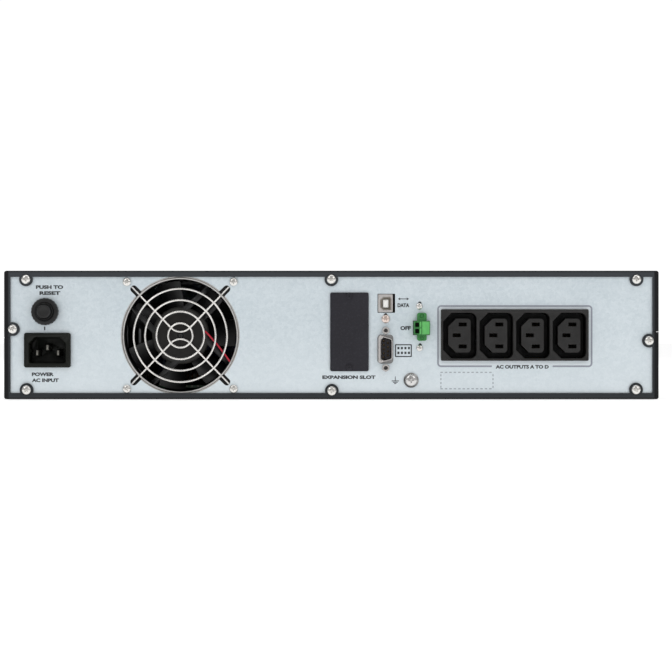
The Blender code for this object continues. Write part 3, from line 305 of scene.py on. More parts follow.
MATS = {
    # Painted light: the case's last colour lightens the rear lip's face, more at the top than at the bottom.
    "case": powder_coat_look("case_powder_coat", (0.0068, 0.0068, 0.0082), (0.0088, 0.0088, 0.0104), 0.16, (0.060, 0.063, 0.067), (0.046, 0.051, 0.057)),
    "slot": powder_coat_look("slot_powder_coat", (0.0225, 0.0215, 0.0270), (0.0275, 0.0265, 0.0330), 0.18, (0.080, 0.080, 0.090)),
    "zinc": zinc_sheet_look(),
    "screw": metal_look("zinc_screw", (0.78, 0.765, 0.735), 0.24),
    "black_screw": metal_look("black_screw", (0.035, 0.034, 0.038), 0.32),
    "copper_screw": metal_look("warm_screw", (0.78, 0.66, 0.60), 0.30),
    "chrome": metal_look("guard_wire_plate", (0.86, 0.84, 0.81), 0.22, dirt=0.10),
    # Painted shade: a darker copy of the guard wire's metal, for parts in the shadow of the fan hole's edge.
    "shaded_wire": metal_look("guard_rim_painted_shade", (0.58, 0.57, 0.555), 0.34, dirt=0.15),
    "nickel": metal_look("nickel_shell", (0.60, 0.575, 0.56), 0.34),
    "tin": metal_look("tin_contact", (0.30, 0.29, 0.27), 0.38),
    "pin_plate": metal_look("pin_plate", (0.20, 0.195, 0.175), 0.38),
    # Painted highlight: a paler copy of the fan plastic, for the motor base's curved shoulder.
    "hub_painted_highlight": finish((0.0230, 0.0222, 0.0205), 0.44, grain=1000.0, bump=0.3, mottle=70.0, vary=0.45, wear=(0.05, 0.05, 0.048), spec=0.3, name="hub_shoulder_painted_highlight"),
    "brass": metal_look("brass_contact", (0.20, 0.145, 0.075), 0.40),
    "aluminium": metal_look("bare_aluminium", (0.30, 0.305, 0.31), 0.40, brush=(1.0, 0.05, 1.0)),
    "fan": finish((0.0075, 0.0075, 0.0080), 0.36, grain=1300.0, bump=0.25, mottle=120.0, vary=0.3, wear=(0.04, 0.04, 0.042), wear_r=0.0003, spec=0.40, name="fan_plastic"),
    "fan_hub": finish((0.0140, 0.0130, 0.0120), 0.42, grain=900.0, bump=0.25, mottle=200.0, vary=0.25, wear=(0.03, 0.03, 0.03), spec=0.2, name="fan_hub_label"),
    "red": finish((0.50, 0.012, 0.035), 0.38, grain=2000.0, bump=0.15, mottle=300.0, vary=0.15, name="red_lead"),
    "black_lead": finish((0.02, 0.02, 0.02), 0.4, grain=2000.0, bump=0.15, mottle=300.0, vary=0.2, name="black_lead"),
    "inlet": finish((0.0055, 0.0066, 0.0046), 0.40, grain=1500.0, bump=0.22, mottle=150.0, vary=0.25, wear=(0.030, 0.032, 0.028), spec=0.20, name="inlet_plastic"),
    # Painted shade: the outlet plastic darkens from the socket mouths inwards.
    "outlet": finish((0.0258, 0.0250, 0.0248), 0.46, grain=1500.0, bump=0.28, mottle=130.0, vary=0.20, wear=(0.055, 0.053, 0.051), spec=0.20, mouth=-0.2088, name="outlet_plastic"),
    # Painted shade: a near-black stand-in for the shade in deep holes, used on the terminal clamps.
    "recess": finish((0.0045, 0.0045, 0.0045), 0.5, grain=1500.0, bump=0.2, mottle=150.0, vary=0.3, wear=(0.02, 0.02, 0.02), spec=0.2, name="clamp_painted_shade"),
    "breaker": finish((0.0150, 0.0152, 0.0155), 0.42, grain=1600.0, bump=0.22, mottle=260.0, vary=0.22, wear=(0.055, 0.055, 0.055), wear_r=0.0003, spec=0.25, name="breaker_plastic"),
    "button": finish((0.0165, 0.0165, 0.0165), 0.40, grain=1600.0, bump=0.15, mottle=260.0, vary=0.2, wear=(0.065, 0.065, 0.065), wear_r=0.0003, spec=0.28, name="button_plastic"),
    "white": finish((0.93, 0.93, 0.90), 0.36, grain=1600.0, bump=0.12, mottle=260.0, vary=0.03, name="white_plastic"),
    # Painted light and shade: one green plastic as a lit copy and, below, a shaded copy.
    "green": finish((0.108, 0.455, 0.115), 0.38, grain=1400.0, bump=0.18, mottle=260.0, vary=0.16, wear=(0.20, 0.52, 0.20), wear_r=0.0003, name="green_plastic"),
    "shaded_green": finish((0.036, 0.205, 0.048), 0.42, grain=1400.0, bump=0.18, mottle=260.0, vary=0.16, name="green_plastic_painted_shade"),
    "bezel": finish((0.0130, 0.0130, 0.0145), 0.48, grain=1300.0, bump=0.35, mottle=60.0, vary=0.10, wear=(0.045, 0.045, 0.048), wear_r=0.0006, spec=0.32, rough_var=0.05, name="bezel_plastic"),
    "battery": finish((0.045, 0.046, 0.050), 0.45, grain=1000.0, bump=0.3, mottle=50.0, vary=0.15, wear=(0.11, 0.11, 0.12), name="battery_case"),
    "core": finish((0.16, 0.15, 0.135), 0.5, metallic=0.6, grain=1200.0, bump=0.3, mottle=90.0, vary=0.2, name="core_laminations", stretch=(1.0, 12.0, 1.0)),
    "tape": finish((0.62, 0.44, 0.10), 0.35, grain=700.0, bump=0.2, mottle=90.0, vary=0.15, name="winding_tape"),
    "board": board_look(),
    "ink": print_look(),
    "grey_ink": print_look("panel_grey_ink", (0.28, 0.30, 0.35), (0.38, 0.40, 0.45)),
    "pale_ink": print_look("panel_pale_ink", (0.70, 0.76, 0.80), (0.78, 0.83, 0.86)),
    "dash_ink": print_look("panel_dash_ink", (0.35, 0.39, 0.43), (0.46, 0.51, 0.55)),
    "dark_metal": metal_look("shadowed_steel", (0.10, 0.095, 0.092), 0.42),
    # Painted shadow: the earth screw's metal darkens in a crescent round its washer, deepest to the lower left.
    "earth_metal": metal_look("earth_screw_plate", (0.69, 0.68, 0.67), 0.22, dirt=0.25, rim=(0.0534, 0.0127, 0.0037, 0.0041)),
    "flange_metal": metal_look("connector_flange", (0.34, 0.335, 0.335), 0.40),
    "lining": finish((0.235, 0.212, 0.178), 0.45, grain=1600.0, bump=0.12, mottle=300.0, vary=0.1, spec=0.3, name="port_lining"),
    "insert": finish((0.0165, 0.0150, 0.0170), 0.5, grain=1600.0, bump=0.12, mottle=300.0, vary=0.15, spec=0.2, name="port_insert"),
    # Painted shade: a near-black sheet for the strips behind the case seams.
    "seam_shade": finish((0.006, 0.006, 0.006), 0.8, grain=900.0, bump=0.4, mottle=200.0, vary=0.2, spec=0.1, name="seam_painted_shade"),
    "window": window_look(),
    "sleeve": finish((0.03, 0.05, 0.16), 0.3, grain=1200.0, bump=0.1, mottle=90.0, vary=0.15, name="capacitor_sleeve"),
    "chip": finish((0.018, 0.018, 0.018), 0.5, grain=1800.0, bump=0.3, mottle=200.0, vary=0.2, name="chip_resin"),
    "led": finish((0.10, 0.55, 0.16), 0.25, grain=1800.0, bump=0.05, mottle=200.0, vary=0.08, name="status_lens"),
}


# ------------------------------------------------------------------ mesh helpers, in millimetres
def arc(cx, cy, r, a0, a1, n):
    return [(cx + r * math.cos(math.radians(a0 + (a1 - a0) * i / n)), cy + r * math.sin(math.radians(a0 + (a1 - a0) * i / n))) for i in range(n + 1)]


def circle(cx, cy, r, n=48, turn=0.0):
    return [(cx + r * math.cos(2 * math.pi * i / n + turn), cy + r * math.sin(2 * math.pi * i / n + turn)) for i in range(n)]


def rounded(x0, y0, x1, y1, r=0.0, n=6, cuts=None):
    """A rectangle outline from (x0, y0) counter-clockwise. cuts maps a corner a, b, c or d to a straight chamfer's size."""
    out = []
    cuts = cuts or {}
    for key, cx, cy, sx, sy, start in (("a", x0, y0, 1, 1, 180), ("b", x1, y0, -1, 1, 270), ("c", x1, y1, -1, -1, 0), ("d", x0, y1, 1, -1, 90)):
        if key in cuts:
            s = cuts[key]
            out += arc(cx + sx * s, cy + sy * s, s, start, start + 90, 1)
        elif r > 0:
            out += arc(cx + sx * r, cy + sy * r, r, start, start + 90, n)
        else:
            out.append((cx, cy))
    return out


PLACE = {
    "Y": lambda a, b, t: (a, t, b),
    "Z": lambda a, b, t: (a, b, t),
    "X": lambda a, b, t: (t, a, b),
}


def prism(outline, axis, lo, hi, bm=None):
    bm = bm or bmesh.new()
    place = PLACE[axis]
    low = [bm.verts.new(Vector(place(a, b, lo)) * MM) for a, b in outline]
    high = [bm.verts.new(Vector(place(a, b, hi)) * MM) for a, b in outline]
    made = [bm.faces.new(low), bm.faces.new(high)]
    for i in range(len(outline)):
        j = (i + 1) % len(outline)
        made.append(bm.faces.new([low[i], low[j], high[j], high[i]]))
    bmesh.ops.recalc_face_normals(bm, faces=made)
    return bm


def loft(rings, axis="Y", cap=(True, True), closed=False):
    """Joins outlines of the same count: [(t, outline), ...] along an axis."""
    bm = bmesh.new()
    place = PLACE[axis]
    rows = [[bm.verts.new(Vector(place(a, b, t)) * MM) for a, b in outline] for t, outline in rings]
    made = []
    pairs = list(zip(rows, rows[1:])) + ([(rows[-1], rows[0])] if closed else [])
    for first, second in pairs:
        n = len(first)
        for i in range(n):
            j = (i + 1) % n
            made.append(bm.faces.new([first[i], first[j], second[j], second[i]]))
    if not closed:
        if cap[0]:
            made.append(bm.faces.new(rows[0]))
        if cap[1]:
            made.append(bm.faces.new(rows[-1]))
    bmesh.ops.recalc_face_normals(bm, faces=made)
    return bm


def block(x0, x1, y0, y1, z0, z1):
    return prism([(x0, z0), (x1, z0), (x1, z1), (x0, z1)], "Y", y0, y1)


def turned(profile, cx, cz, n=48, ring=False, axis="Y", turn=0.0, wobble=None):
    """Turns (radius, along) points about a line. wobble(angle, row) scales the radius, for knurls."""
    bm = bmesh.new()
    place = {"Y": lambda a, b, t: (cx + a, t, cz + b), "Z": lambda a, b, t: (cx + a, cz + b, t), "X": lambda a, b, t: (t, cx + a, cz + b)}[axis]
    rows = []
    for k, (r, along) in enumerate(profile):
        if r < 1e-6:
            rows.append([bm.verts.new(Vector(place(0, 0, along)) * MM)])
            continue
        row = []
        for i in range(n):
            angle = 2 * math.pi * i / n + turn
            rr = r * (wobble(i, k) if wobble else 1.0)
            row.append(bm.verts.new(Vector(place(rr * math.cos(angle), rr * math.sin(angle), along)) * MM))
        rows.append(row)
    made = []
    pairs = list(zip(rows, rows[1:])) + ([(rows[-1], rows[0])] if ring else [])
    for first, second in pairs:
        for i in range(n):
            j = (i + 1) % n
            corners = []
            for v in (first[i % len(first)], first[j % len(first)], second[j % len(second)], second[i % len(second)]):
                if v not in corners:
                    corners.append(v)
            if len(corners) > 2:
                made.append(bm.faces.new(corners))
    if not ring:
        for row in (rows[0], rows[-1]):
            if len(row) > 1:
                made.append(bm.faces.new(row))
    bmesh.ops.recalc_face_normals(bm, faces=made)
    return bm


def rod(cx, cz, r, y0, y1, n=32, axis="Y"):
    return turned([(r, y0), (r, y1)], cx, cz, n, axis=axis)


def tube(points, r, sides=16, closed=False, up_hint=None):
    bm = bmesh.new()
    points = [Vector(p) for p in points]
    count = len(points)
    rows, up = [], up_hint and Vector(up_hint)
    for i, point in enumerate(points):
        along = (points[(i + 1) % count] - points[i - 1]) if closed else (points[min(i + 1, count - 1)] - points[max(i - 1, 0)])
        along.normalize()
        if up is None:
            up = Vector((0, 1, 0)) if abs(along.y) < 0.9 else Vector((0, 0, 1))
        up = (up - along * up.dot(along)).normalized()
        side = along.cross(up)
        rows.append([bm.verts.new((point + up * (r * math.cos(2 * math.pi * k / sides)) + side * (r * math.sin(2 * math.pi * k / sides))) * MM) for k in range(sides)])
    made = []
    for first, second in list(zip(rows, rows[1:])) + ([(rows[-1], rows[0])] if closed else []):
        for k in range(sides):
            j = (k + 1) % sides
            made.append(bm.faces.new([first[k], first[j], second[j], second[k]]))
    if not closed:
        made += [bm.faces.new(rows[0]), bm.faces.new(rows[-1])]
    bmesh.ops.recalc_face_normals(bm, faces=made)
    return bm


def smooth_path(points, steps):
    points = [Vector(p) for p in points]
    out = []
    for i in range(len(points) - 1):
        p0, p1, p2, p3 = points[max(i - 1, 0)], points[i], points[i + 1], points[min(i + 2, len(points) - 1)]
        for k in range(steps):
            t = k / steps
            out.append(0.5 * (2 * p1 + (p2 - p0) * t + (2 * p0 - 5 * p1 + 4 * p2 - p3) * t * t + (3 * p1 - p0 - 3 * p2 + p3) * t**3))
    out.append(points[-1])
    return [tuple(p) for p in out]


def merged(parts):
    whole = bmesh.new()
    for part in parts:
        mesh = bpy.data.meshes.new("tool")
        part.to_mesh(mesh)
        part.free()
        whole.from_mesh(mesh)
        bpy.data.meshes.remove(mesh)
    return whole


def object_of(bm, name):
    mesh = bpy.data.meshes.new(name)
    bm.to_mesh(mesh)
    bm.free()
    obj = bpy.data.objects.new(name, mesh)
    bpy.context.scene.collection.objects.link(obj)
    return obj


def combine(base, bm, operation="DIFFERENCE"):
    tool = object_of(merged(bm) if isinstance(bm, list) else bm, "tool")
    modifier = base.modifiers.new("combine", "BOOLEAN")
    modifier.operation = operation
    modifier.solver = "EXACT"
    modifier.object = tool
    graph = bpy.context.evaluated_depsgraph_get()
    made = bpy.data.meshes.new_from_object(base.evaluated_get(graph))
    base.modifiers.clear()
    old = base.data
    base.data = made
    bpy.data.meshes.remove(old)
    bpy.data.objects.remove(tool, do_unlink=True)
    return base


def piece(name, bm, look, body="chassis", stands=(), bevel=0.0, segments=2, angle=30.0, smooth=35.0, cut=(), add=(), weld=False):
    """One finished piece: mesh, exact cuts, a real bevel on its edges, its material, its body and what it stands for."""
    obj = object_of(merged(bm) if isinstance(bm, list) else bm, name)
    for tool in add:
        combine(obj, tool, "UNION")
    for tool in cut:
        combine(obj, tool, "DIFFERENCE")
    obj.data.materials.clear()
    obj.data.materials.append(MATS[look] if isinstance(look, str) else look)
    for poly in obj.data.polygons:
        poly.use_smooth = True
    obj.data.set_sharp_from_angle(angle=math.radians(smooth))
    if bevel:
        modifier = obj.modifiers.new("edge", "BEVEL")
        modifier.width = bevel * MM
        modifier.segments = segments
        modifier.limit_method = "ANGLE"
        modifier.angle_limit = math.radians(angle)
        modifier.miter_outer = "MITER_ARC" if segments > 1 else "MITER_SHARP"
        modifier.use_clamp_overlap = True
        modifier.harden_normals = True
    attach(obj, body)
    if stands:
        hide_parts(*([stands] if isinstance(stands, str) else stands))
    return obj


def phillips_cut(cx, cz, y_top, arm, width, depth, turn=0.0):
    """A cross recess as one closed cutter: two tapered bars."""
    parts = []
    for k in range(2):
        a = math.radians(turn + 90 * k)
        ux, uz = math.cos(a), math.sin(a)

        def quad(half_len, half_w):
            return [(cx + s * half_len * ux - t * half_w * uz, cz + s * half_len * uz + t * half_w * ux) for s, t in ((-1, -1), (1, -1), (1, 1), (-1, 1))]

        parts.append(loft([(y_top - 1.0, quad(arm * 1.15, width * 0.62)), (y_top + depth, quad(arm * 0.45, width * 0.32))], "Y"))
    return parts


def pan_screw(name, node, look, head_r, head_h, y_seat, turn=20.0, washer_r=0.0, dark_recess=True):
    """A pan-head cross-recess screw at the node's place, with its flange or washer."""
    b = nbox(node)
    cx, cz = (b[0] + b[3]) / 2, (b[2] + b[5]) / 2
    base = y_seat - 0.3
    extra = 0.9 if washer_r else 0.0
    top = base - head_h - extra
    profile = [(0.0, top)]
    for i in range(1, 9):
        a = math.radians(90 - i * 10)
        profile.append((head_r * math.cos(a) ** 0.8, top + head_h * 0.75 * (1 - math.sin(a))))
    profile += [(head_r, base - extra - 0.15 * head_h), (head_r - 0.12, base - extra)]
    if washer_r:
        profile += [(head_r + 0.25, base - extra), (washer_r - 0.15, base - extra + 0.25), (washer_r, base - extra + 0.45), (washer_r, base)]
    profile += [(1.3, base), (1.3, b[4] - 0.5), (0.0, b[4])]
    obj = object_of(turned(profile, cx, cz, 40), name)
    for tool in phillips_cut(cx, cz, top, head_r * 0.56, head_r * 0.24, head_h * 0.72, turn):
        combine(obj, tool)
    obj.data.materials.clear()
    obj.data.materials.append(MATS[look])
    for poly in obj.data.polygons:
        poly.use_smooth = True
    obj.data.set_sharp_from_angle(angle=math.radians(38))
    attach(obj, "chassis")
    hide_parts(node)
    return obj


# ------------------------------------------------------------------ case
CASE_W, CASE_H, SHEET, GAP, CORNER_R = 438.0, 86.0, 1.2, 0.3, 1.6
TRAY, COVER, PANEL = nbox("base_tray"), nbox("top_cover"), nbox("rear_panel")
Y_RIM, Y_CASE_FRONT = TRAY[1], TRAY[4]
Y_PANEL, Y_PANEL_IN = PANEL[1], PANEL[4]
RIM_W, TAB_R, SEAM_LEFT, SEAM_RIGHT = 4.15, 4.6, 41.0, 45.0


def centre(node):
    b = nbox(node)
    return ((b[0] + b[3]) / 2, (b[2] + b[5]) / 2)


COVER_SCREWS = [centre(f"case_screw_{i}") for i in (1, 2, 3, 4)]
TRAY_SCREWS = [centre(f"case_screw_{i}") for i in (5, 6, 7, 8)]
EAR_Y, EAR_Z = (140.0, 178.0), (22.0, 64.0)
VENT_Y = [60.0 - 9.0 * i for i in range(9)]


def tab(cx, cz, edge, bulge, n=24):
    s = math.degrees(math.asin(max(-0.99, min(0.99, edge / TAB_R))))
    return arc(cx, cz, TAB_R, bulge - 90 - s, bulge + 90 + s, n)


def tray_lip():
    half, inner = CASE_W / 2, CASE_W / 2 - RIM_W
    out = [(-half, SEAM_LEFT)] + arc(-half + CORNER_R, CORNER_R, CORNER_R, 180, 270, 10) + arc(half - CORNER_R, CORNER_R, CORNER_R, 270, 360, 10)
    out += [(half, SEAM_RIGHT), (inner, SEAM_RIGHT)]
    x, z = TRAY_SCREWS[3]
    out += tab(x, z, inner - x, 180) + [(inner, RIM_W)]
    for x, z in reversed(TRAY_SCREWS[:3]):
        out += tab(x, z, z - RIM_W, 90)
    return out + [(-inner, RIM_W), (-inner, SEAM_LEFT)]


def cover_lip():
    half, inner, top = CASE_W / 2, CASE_W / 2 - RIM_W, CASE_H - RIM_W
    out = [(half, SEAM_RIGHT + GAP)] + arc(half - CORNER_R, CASE_H - CORNER_R, CORNER_R, 0, 90, 10) + arc(-half + CORNER_R, CASE_H - CORNER_R, CORNER_R, 90, 180, 10)
    out += [(-half, SEAM_LEFT + GAP), (-inner, SEAM_LEFT + GAP)]
    x, z = COVER_SCREWS[3]
    out += tab(x, z, x + inner, 0) + [(-inner, top)]
    for x, z in COVER_SCREWS[:3]:
        out += tab(x, z, top - z, 270)
    return out + [(inner, top), (inner, SEAM_RIGHT + GAP)]


def channel(z_left, z_right, up):
    half, r, ri, t = CASE_W / 2, CORNER_R, CORNER_R - SHEET, SHEET
    if not up:
        z_left, z_right = CASE_H - z_left, CASE_H - z_right
    out = [(-half, z_left)] + arc(-half + r, r, r, 180, 270, 10) + arc(half - r, r, r, 270, 360, 10)
    out += [(half, z_right), (half - t, z_right)] + arc(half - r, r, ri, 360, 270, 6) + arc(-half + r, r, ri, 270, 180, 6) + [(-half + t, z_left)]
    return out if up else [(x, CASE_H - z) for x, z in out]


def holes(places, r=1.75, y0=-212.0, y1=-203.0, n=24):
    return [rod(x, z, r, y0, y1, n) for x, z in places]


def side_holes(zs):
    out = []
    for side in (-1, 1):
        a, b = sorted((side * 216.0, side * 222.0))
        out += [rod(y, z, 1.7, a, b, 20, axis="X") for y in EAR_Y for z in zs]
    return out


def slot_outline(y, z0, z1, w):
    return arc(y, z1 - w, w, 0, 180, 8) + arc(y, z0 + w, w, 180, 360, 8)


piece(
    "tray",
    prism(channel(SEAM_LEFT, SEAM_RIGHT, True), "Y", Y_RIM + 0.4, Y_CASE_FRONT),
    "case",
    stands="base_tray",
    bevel=0.22,
    add=[
        prism(tray_lip(), "Y", Y_RIM, Y_RIM + SHEET),
        [rod(x, y, 3.0, SHEET - 0.6, 6.7, 24, axis="Z") for x in (-204.0, 20.0) for y in (-164.0, -38.0)],
    ],
    cut=[holes(TRAY_SCREWS) + side_holes(EAR_Z[:1])],
)
vents = [prism(slot_outline(y, 56.0, 74.0, 1.5), "X", *sorted((s * 215.0, s * 223.0))) for s in (-1, 1) for y in VENT_Y]
piece(
    "cover",
    prism(channel(SEAM_LEFT + GAP, SEAM_RIGHT + GAP, False), "Y", Y_RIM + 0.4, Y_CASE_FRONT),
    "case",
    stands="top_cover",
    bevel=0.22,
    add=[prism(cover_lip(), "Y", Y_RIM, Y_RIM + SHEET)],
    cut=[holes(COVER_SCREWS) + side_holes(EAR_Z[1:]) + vents],
)
for i in range(8):
    pan_screw(f"case_screw_head_{i + 1}", f"case_screw_{i + 1}", "screw", 3.1, 1.9, Y_RIM, turn=(17 + 31 * i) % 90)


# ------------------------------------------------------------------ fan data used by the panel too
FRAME_BOX = nbox("fan_frame")
FX, FZ = (FRAME_BOX[0] + FRAME_BOX[3]) / 2, (FRAME_BOX[2] + FRAME_BOX[5]) / 2
YF, YB = FRAME_BOX[1], FRAME_BOX[4]
PITCH, FAN_HOLE_R, BORE_R, HUB_R, BLADE_R = 71.5, 39.8, 38.0, 17.5, 36.6
CORNERS = [(FX + sx * PITCH / 2, FZ + sz * PITCH / 2) for sx in (-1, 1) for sz in (-1, 1)]


def fan_slots():
    out = []
    for q in range(4):
        a = math.radians(45 + 90 * q)
        ux, uz = math.cos(a), math.sin(a)
        w = 2.4
        end = 46.4 - w
        pts = [(30.0, w), (30.0, -w)] + arc(end, 0.0, w, -90, 90, 14)
        out.append(prism([(FX + u * ux - v * uz, FZ + u * uz + v * ux) for u, v in pts], "Y", -215.0, -200.0))
    return out


IN = nbox("inlet_housing")
IX, IZ = (IN[0] + IN[3]) / 2, (IN[2] + IN[5]) / 2
BX, BZ = centre("breaker_button")
OF = nbox("outlet_frame")
SLOT_SCREWS = [centre("slot_screw_top"), centre("slot_screw_bottom")]
USB_SCREW = centre("usb_screw")
EPO_SCREWS = [centre("epo_screw_top"), centre("epo_screw_bottom")]
JACKS = [centre("serial_jackscrew_top"), centre("serial_jackscrew_bottom")]
GROUND = centre("ground_screw")
HD = nbox("epo_header")

cy = (-215.0, -200.0)
windows = [
    block(IX - 13.8, IX + 13.8, *cy, IZ - 10.0, IZ + 10.0),
    block(1.7, 22.5, *cy, 24.6, 65.7),
    prism(rounded(30.9, 57.9, 42.7, 70.6, 0.4, 3), "Y", *cy),
    prism(rounded(30.8, 23.8, 41.5, 43.3, 2.5, 8), "Y", *cy),
    block(HD[0] - 0.4, HD[3] + 0.4, *cy, HD[2] - 0.4, HD[5] + 0.4),
    block(OF[0] + 0.4, OF[3] - 0.4, *cy, OF[2] + 0.3, OF[5] - 0.3),
    rod(BX, BZ, 6.0, *cy, 48),
    rod(FX, FZ, FAN_HOLE_R, *cy, 128),
]
small = holes(TRAY_SCREWS + COVER_SCREWS + CORNERS + SLOT_SCREWS + [USB_SCREW] + EPO_SCREWS, y0=cy[0], y1=cy[1])
small += holes(JACKS + [GROUND], r=2.2, y0=cy[0], y1=cy[1])
# Slotted places above three screws, left open where the head doesn't cover them.
spare = [rod(USB_SCREW[0], USB_SCREW[1] + 2.75, 1.15, cy[0], cy[1], 24)]
spare += [rod(x + 0.35, z + 2.1, 1.1, cy[0], cy[1], 24) for x, z in EPO_SCREWS]
half = CASE_W / 2 - SHEET - GAP
piece(
    "panel",
    prism(rounded(-half, SHEET + GAP, half, CASE_H - SHEET - GAP, 1.0, 4), "Y", Y_PANEL, Y_PANEL_IN),
    "zinc",
    stands="rear_panel",
    bevel=0.12,
    cut=[windows + small, fan_slots(), spare],
)


# ------------------------------------------------------------------ printed marks on the panel, generic words only
def ink(name, parts, look="ink"):
    return piece(name, parts, look)


def strip(x0, z0, x1, z1):
    return block(x0, x1, Y_PANEL - 0.05, Y_PANEL - 0.01, z0, z1)


def label(name, text, x0, x1, z, height, weight=0.10):
    """Printed words whose capitals stand on z, fitted to the width from x0 to x1."""
    curve = bpy.data.curves.new(name, "FONT")
    curve.body = text
    curve.size = 1.0
    curve.offset = weight * 0.55
    curve.resolution_u = 3
    obj = bpy.data.objects.new(name + "_type", curve)
    bpy.context.scene.collection.objects.link(obj)
    graph = bpy.context.evaluated_depsgraph_get()
    mesh = bpy.data.meshes.new_from_object(obj.evaluated_get(graph))
    bpy.data.objects.remove(obj, do_unlink=True)
    xs = [v.co.x for v in mesh.vertices]
    ys = [v.co.y for v in mesh.vertices]
    sx = (x1 - x0) / (max(xs) - min(xs))
    sz = height / (max(ys) - min(ys))
    lo_x, lo_y = min(xs), min(ys)
    bm = bmesh.new()
    bm.from_mesh(mesh)
    bpy.data.meshes.remove(mesh)
    for v in bm.verts:
        v.co = Vector(((x0 + (v.co.x - lo_x) * sx) * MM, (Y_PANEL - 0.05) * MM, (z + (v.co.y - lo_y) * sz) * MM))
    bmesh.ops.recalc_face_normals(bm, faces=bm.faces)
    made = bmesh.ops.extrude_face_region(bm, geom=list(bm.faces))
    for v in [g for g in made["geom"] if isinstance(g, bmesh.types.BMVert)]:
        v.co.y += 0.04 * MM
    bmesh.ops.recalc_face_normals(bm, faces=bm.faces)
    return ink(name, bm)


def ring_outline(x0, z0, x1, z1, r, w, gap=None):
    """A rounded line frame, as quads; gap leaves out part of the bottom run."""
    outer, inner = rounded(x0, z0, x1, z1, r, 6), rounded(x0 + w, z0 + w, x1 - w, z1 - w, max(0.1, r - w), 6)
    bm = bmesh.new()
    n = len(outer)
    # split the bottom run so that the gap can be left out
    def quad(a, b, c, d):
        lo = [bm.verts.new(Vector((p[0], Y_PANEL - 0.05, p[1])) * MM) for p in (a, b, c, d)]
        hi = [bm.verts.new(Vector((p[0], Y_PANEL - 0.01, p[1])) * MM) for p in (a, b, c, d)]
        faces = [bm.faces.new(lo), bm.faces.new(hi)] + [bm.faces.new([lo[k], lo[(k + 1) % 4], hi[(k + 1) % 4], hi[k]]) for k in range(4)]
        bmesh.ops.recalc_face_normals(bm, faces=faces)
    for i in range(n):
        j = (i + 1) % n
        a, b, c, d = outer[i], outer[j], inner[j], inner[i]
        if gap and abs(a[1] - z0) < 0.01 and abs(b[1] - z0) < 0.01:
            quad(a, (gap[0], z0), (gap[0], z0 + w), d)
            quad((gap[1], z0), b, c, (gap[1], z0 + w))
        else:
            quad(a, b, c, d)
    return bm


label("mark_breaker_1", "PUSH TO", -197.9, -179.6, 73.8, 2.5)
label("mark_breaker_2", "RESET", -195.5, -181.5, 69.8, 2.5)
label("mark_inlet_1", "POWER", -200.6, -185.9, 15.4, 2.5)
label("mark_inlet_2", "AC INPUT", -200.6, -182.6, 11.4, 2.5)
label("mark_slot", "EXPANSION SLOT", -6.1, 29.6, 13.5, 2.4)
label("mark_data", "DATA", 44.3, 52.2, 61.6, 2.6)
label("mark_relay", "OFF", 46.2, 53.2, 46.2, 2.8)
label("mark_output", "AC OUTPUTS A TO D", 110.0, 145.6, 20.4, 2.5)
# Two-way arrows above the data port, a boxed port mark beside the D-sub and the earth symbol.
ink("mark_data_arrows", [strip(45.6, 66.9, 51.0, 67.4)] + [prism([(x, 67.15), (x - s * 1.5, 66.2), (x - s * 1.5, 68.1)], "Y", Y_PANEL - 0.05, Y_PANEL - 0.01) for x, s in ((52.0, 1), (44.6, -1))])
box_marks = [ring_outline(42.6, 28.2, 53.9, 36.8, 0.6, 0.75)]
box_marks += [strip(44.2 + 2.35 * i, 33.4, 45.6 + 2.35 * i, 35.0) for i in range(4)]
box_marks += [strip(44.2 + 2.35 * i, 30.2, 45.6 + 2.35 * i, 31.8) for i in range(4)]
ink("mark_serial", box_marks)
ex, ez = 42.8, 12.2
ink("mark_earth", [strip(ex - 0.22, ez, ex + 0.22, ez + 3.0), strip(ex - 2.4, ez - 0.25, ex + 2.4, ez + 0.3), strip(ex - 1.6, ez - 1.15, ex + 1.6, ez - 0.6), strip(ex - 0.75, ez - 2.0, ex + 0.75, ez - 1.5)])
ink("mark_outlet_frame", ring_outline(70.85, 21.45, 174.85, 62.95, 2.6, 1.15, gap=(107.5, 148.2)), "grey_ink")
band = object_of(prism(rounded(71.95, 22.55, 173.75, 61.85, 1.7, 6), "Y", Y_PANEL - 0.04, Y_PANEL - 0.01), "band")
combine(band, block(OF[0] + 0.2, OF[3] - 0.2, Y_PANEL - 1, Y_PANEL + 1, OF[2] + 0.2, OF[5] - 0.2))
band_bm = bmesh.new()
band_bm.from_mesh(band.data)
bpy.data.objects.remove(band, do_unlink=True)
ink("mark_outlet_band", band_bm, "pale_ink")
dash = []
dx0, dx1, dz0, dz1, w = 73.0, 108.6, 6.6, 18.3, 0.72
count = 12
for i in range(count):
    a = dx0 + (dx1 - dx0) * i / count
    b = a + (dx1 - dx0) / count * 0.56
    dash += [strip(a, dz0, b, dz0 + w), strip(a, dz1 - w, b, dz1)]
count = 4
for i in range(count):
    a = dz0 + w + (dz1 - dz0 - 2 * w) * i / count + 0.25
    b = a + (dz1 - dz0 - 2 * w) / count * 0.56
    dash += [strip(dx0, a, dx0 + w, b), strip(dx1 - w, a, dx1, b)]
ink("mark_dashed_box", dash, "dash_ink")
ink("mark_breaker_tick", [strip(BX - 0.95, 46.2, BX - 0.1, 48.6)])


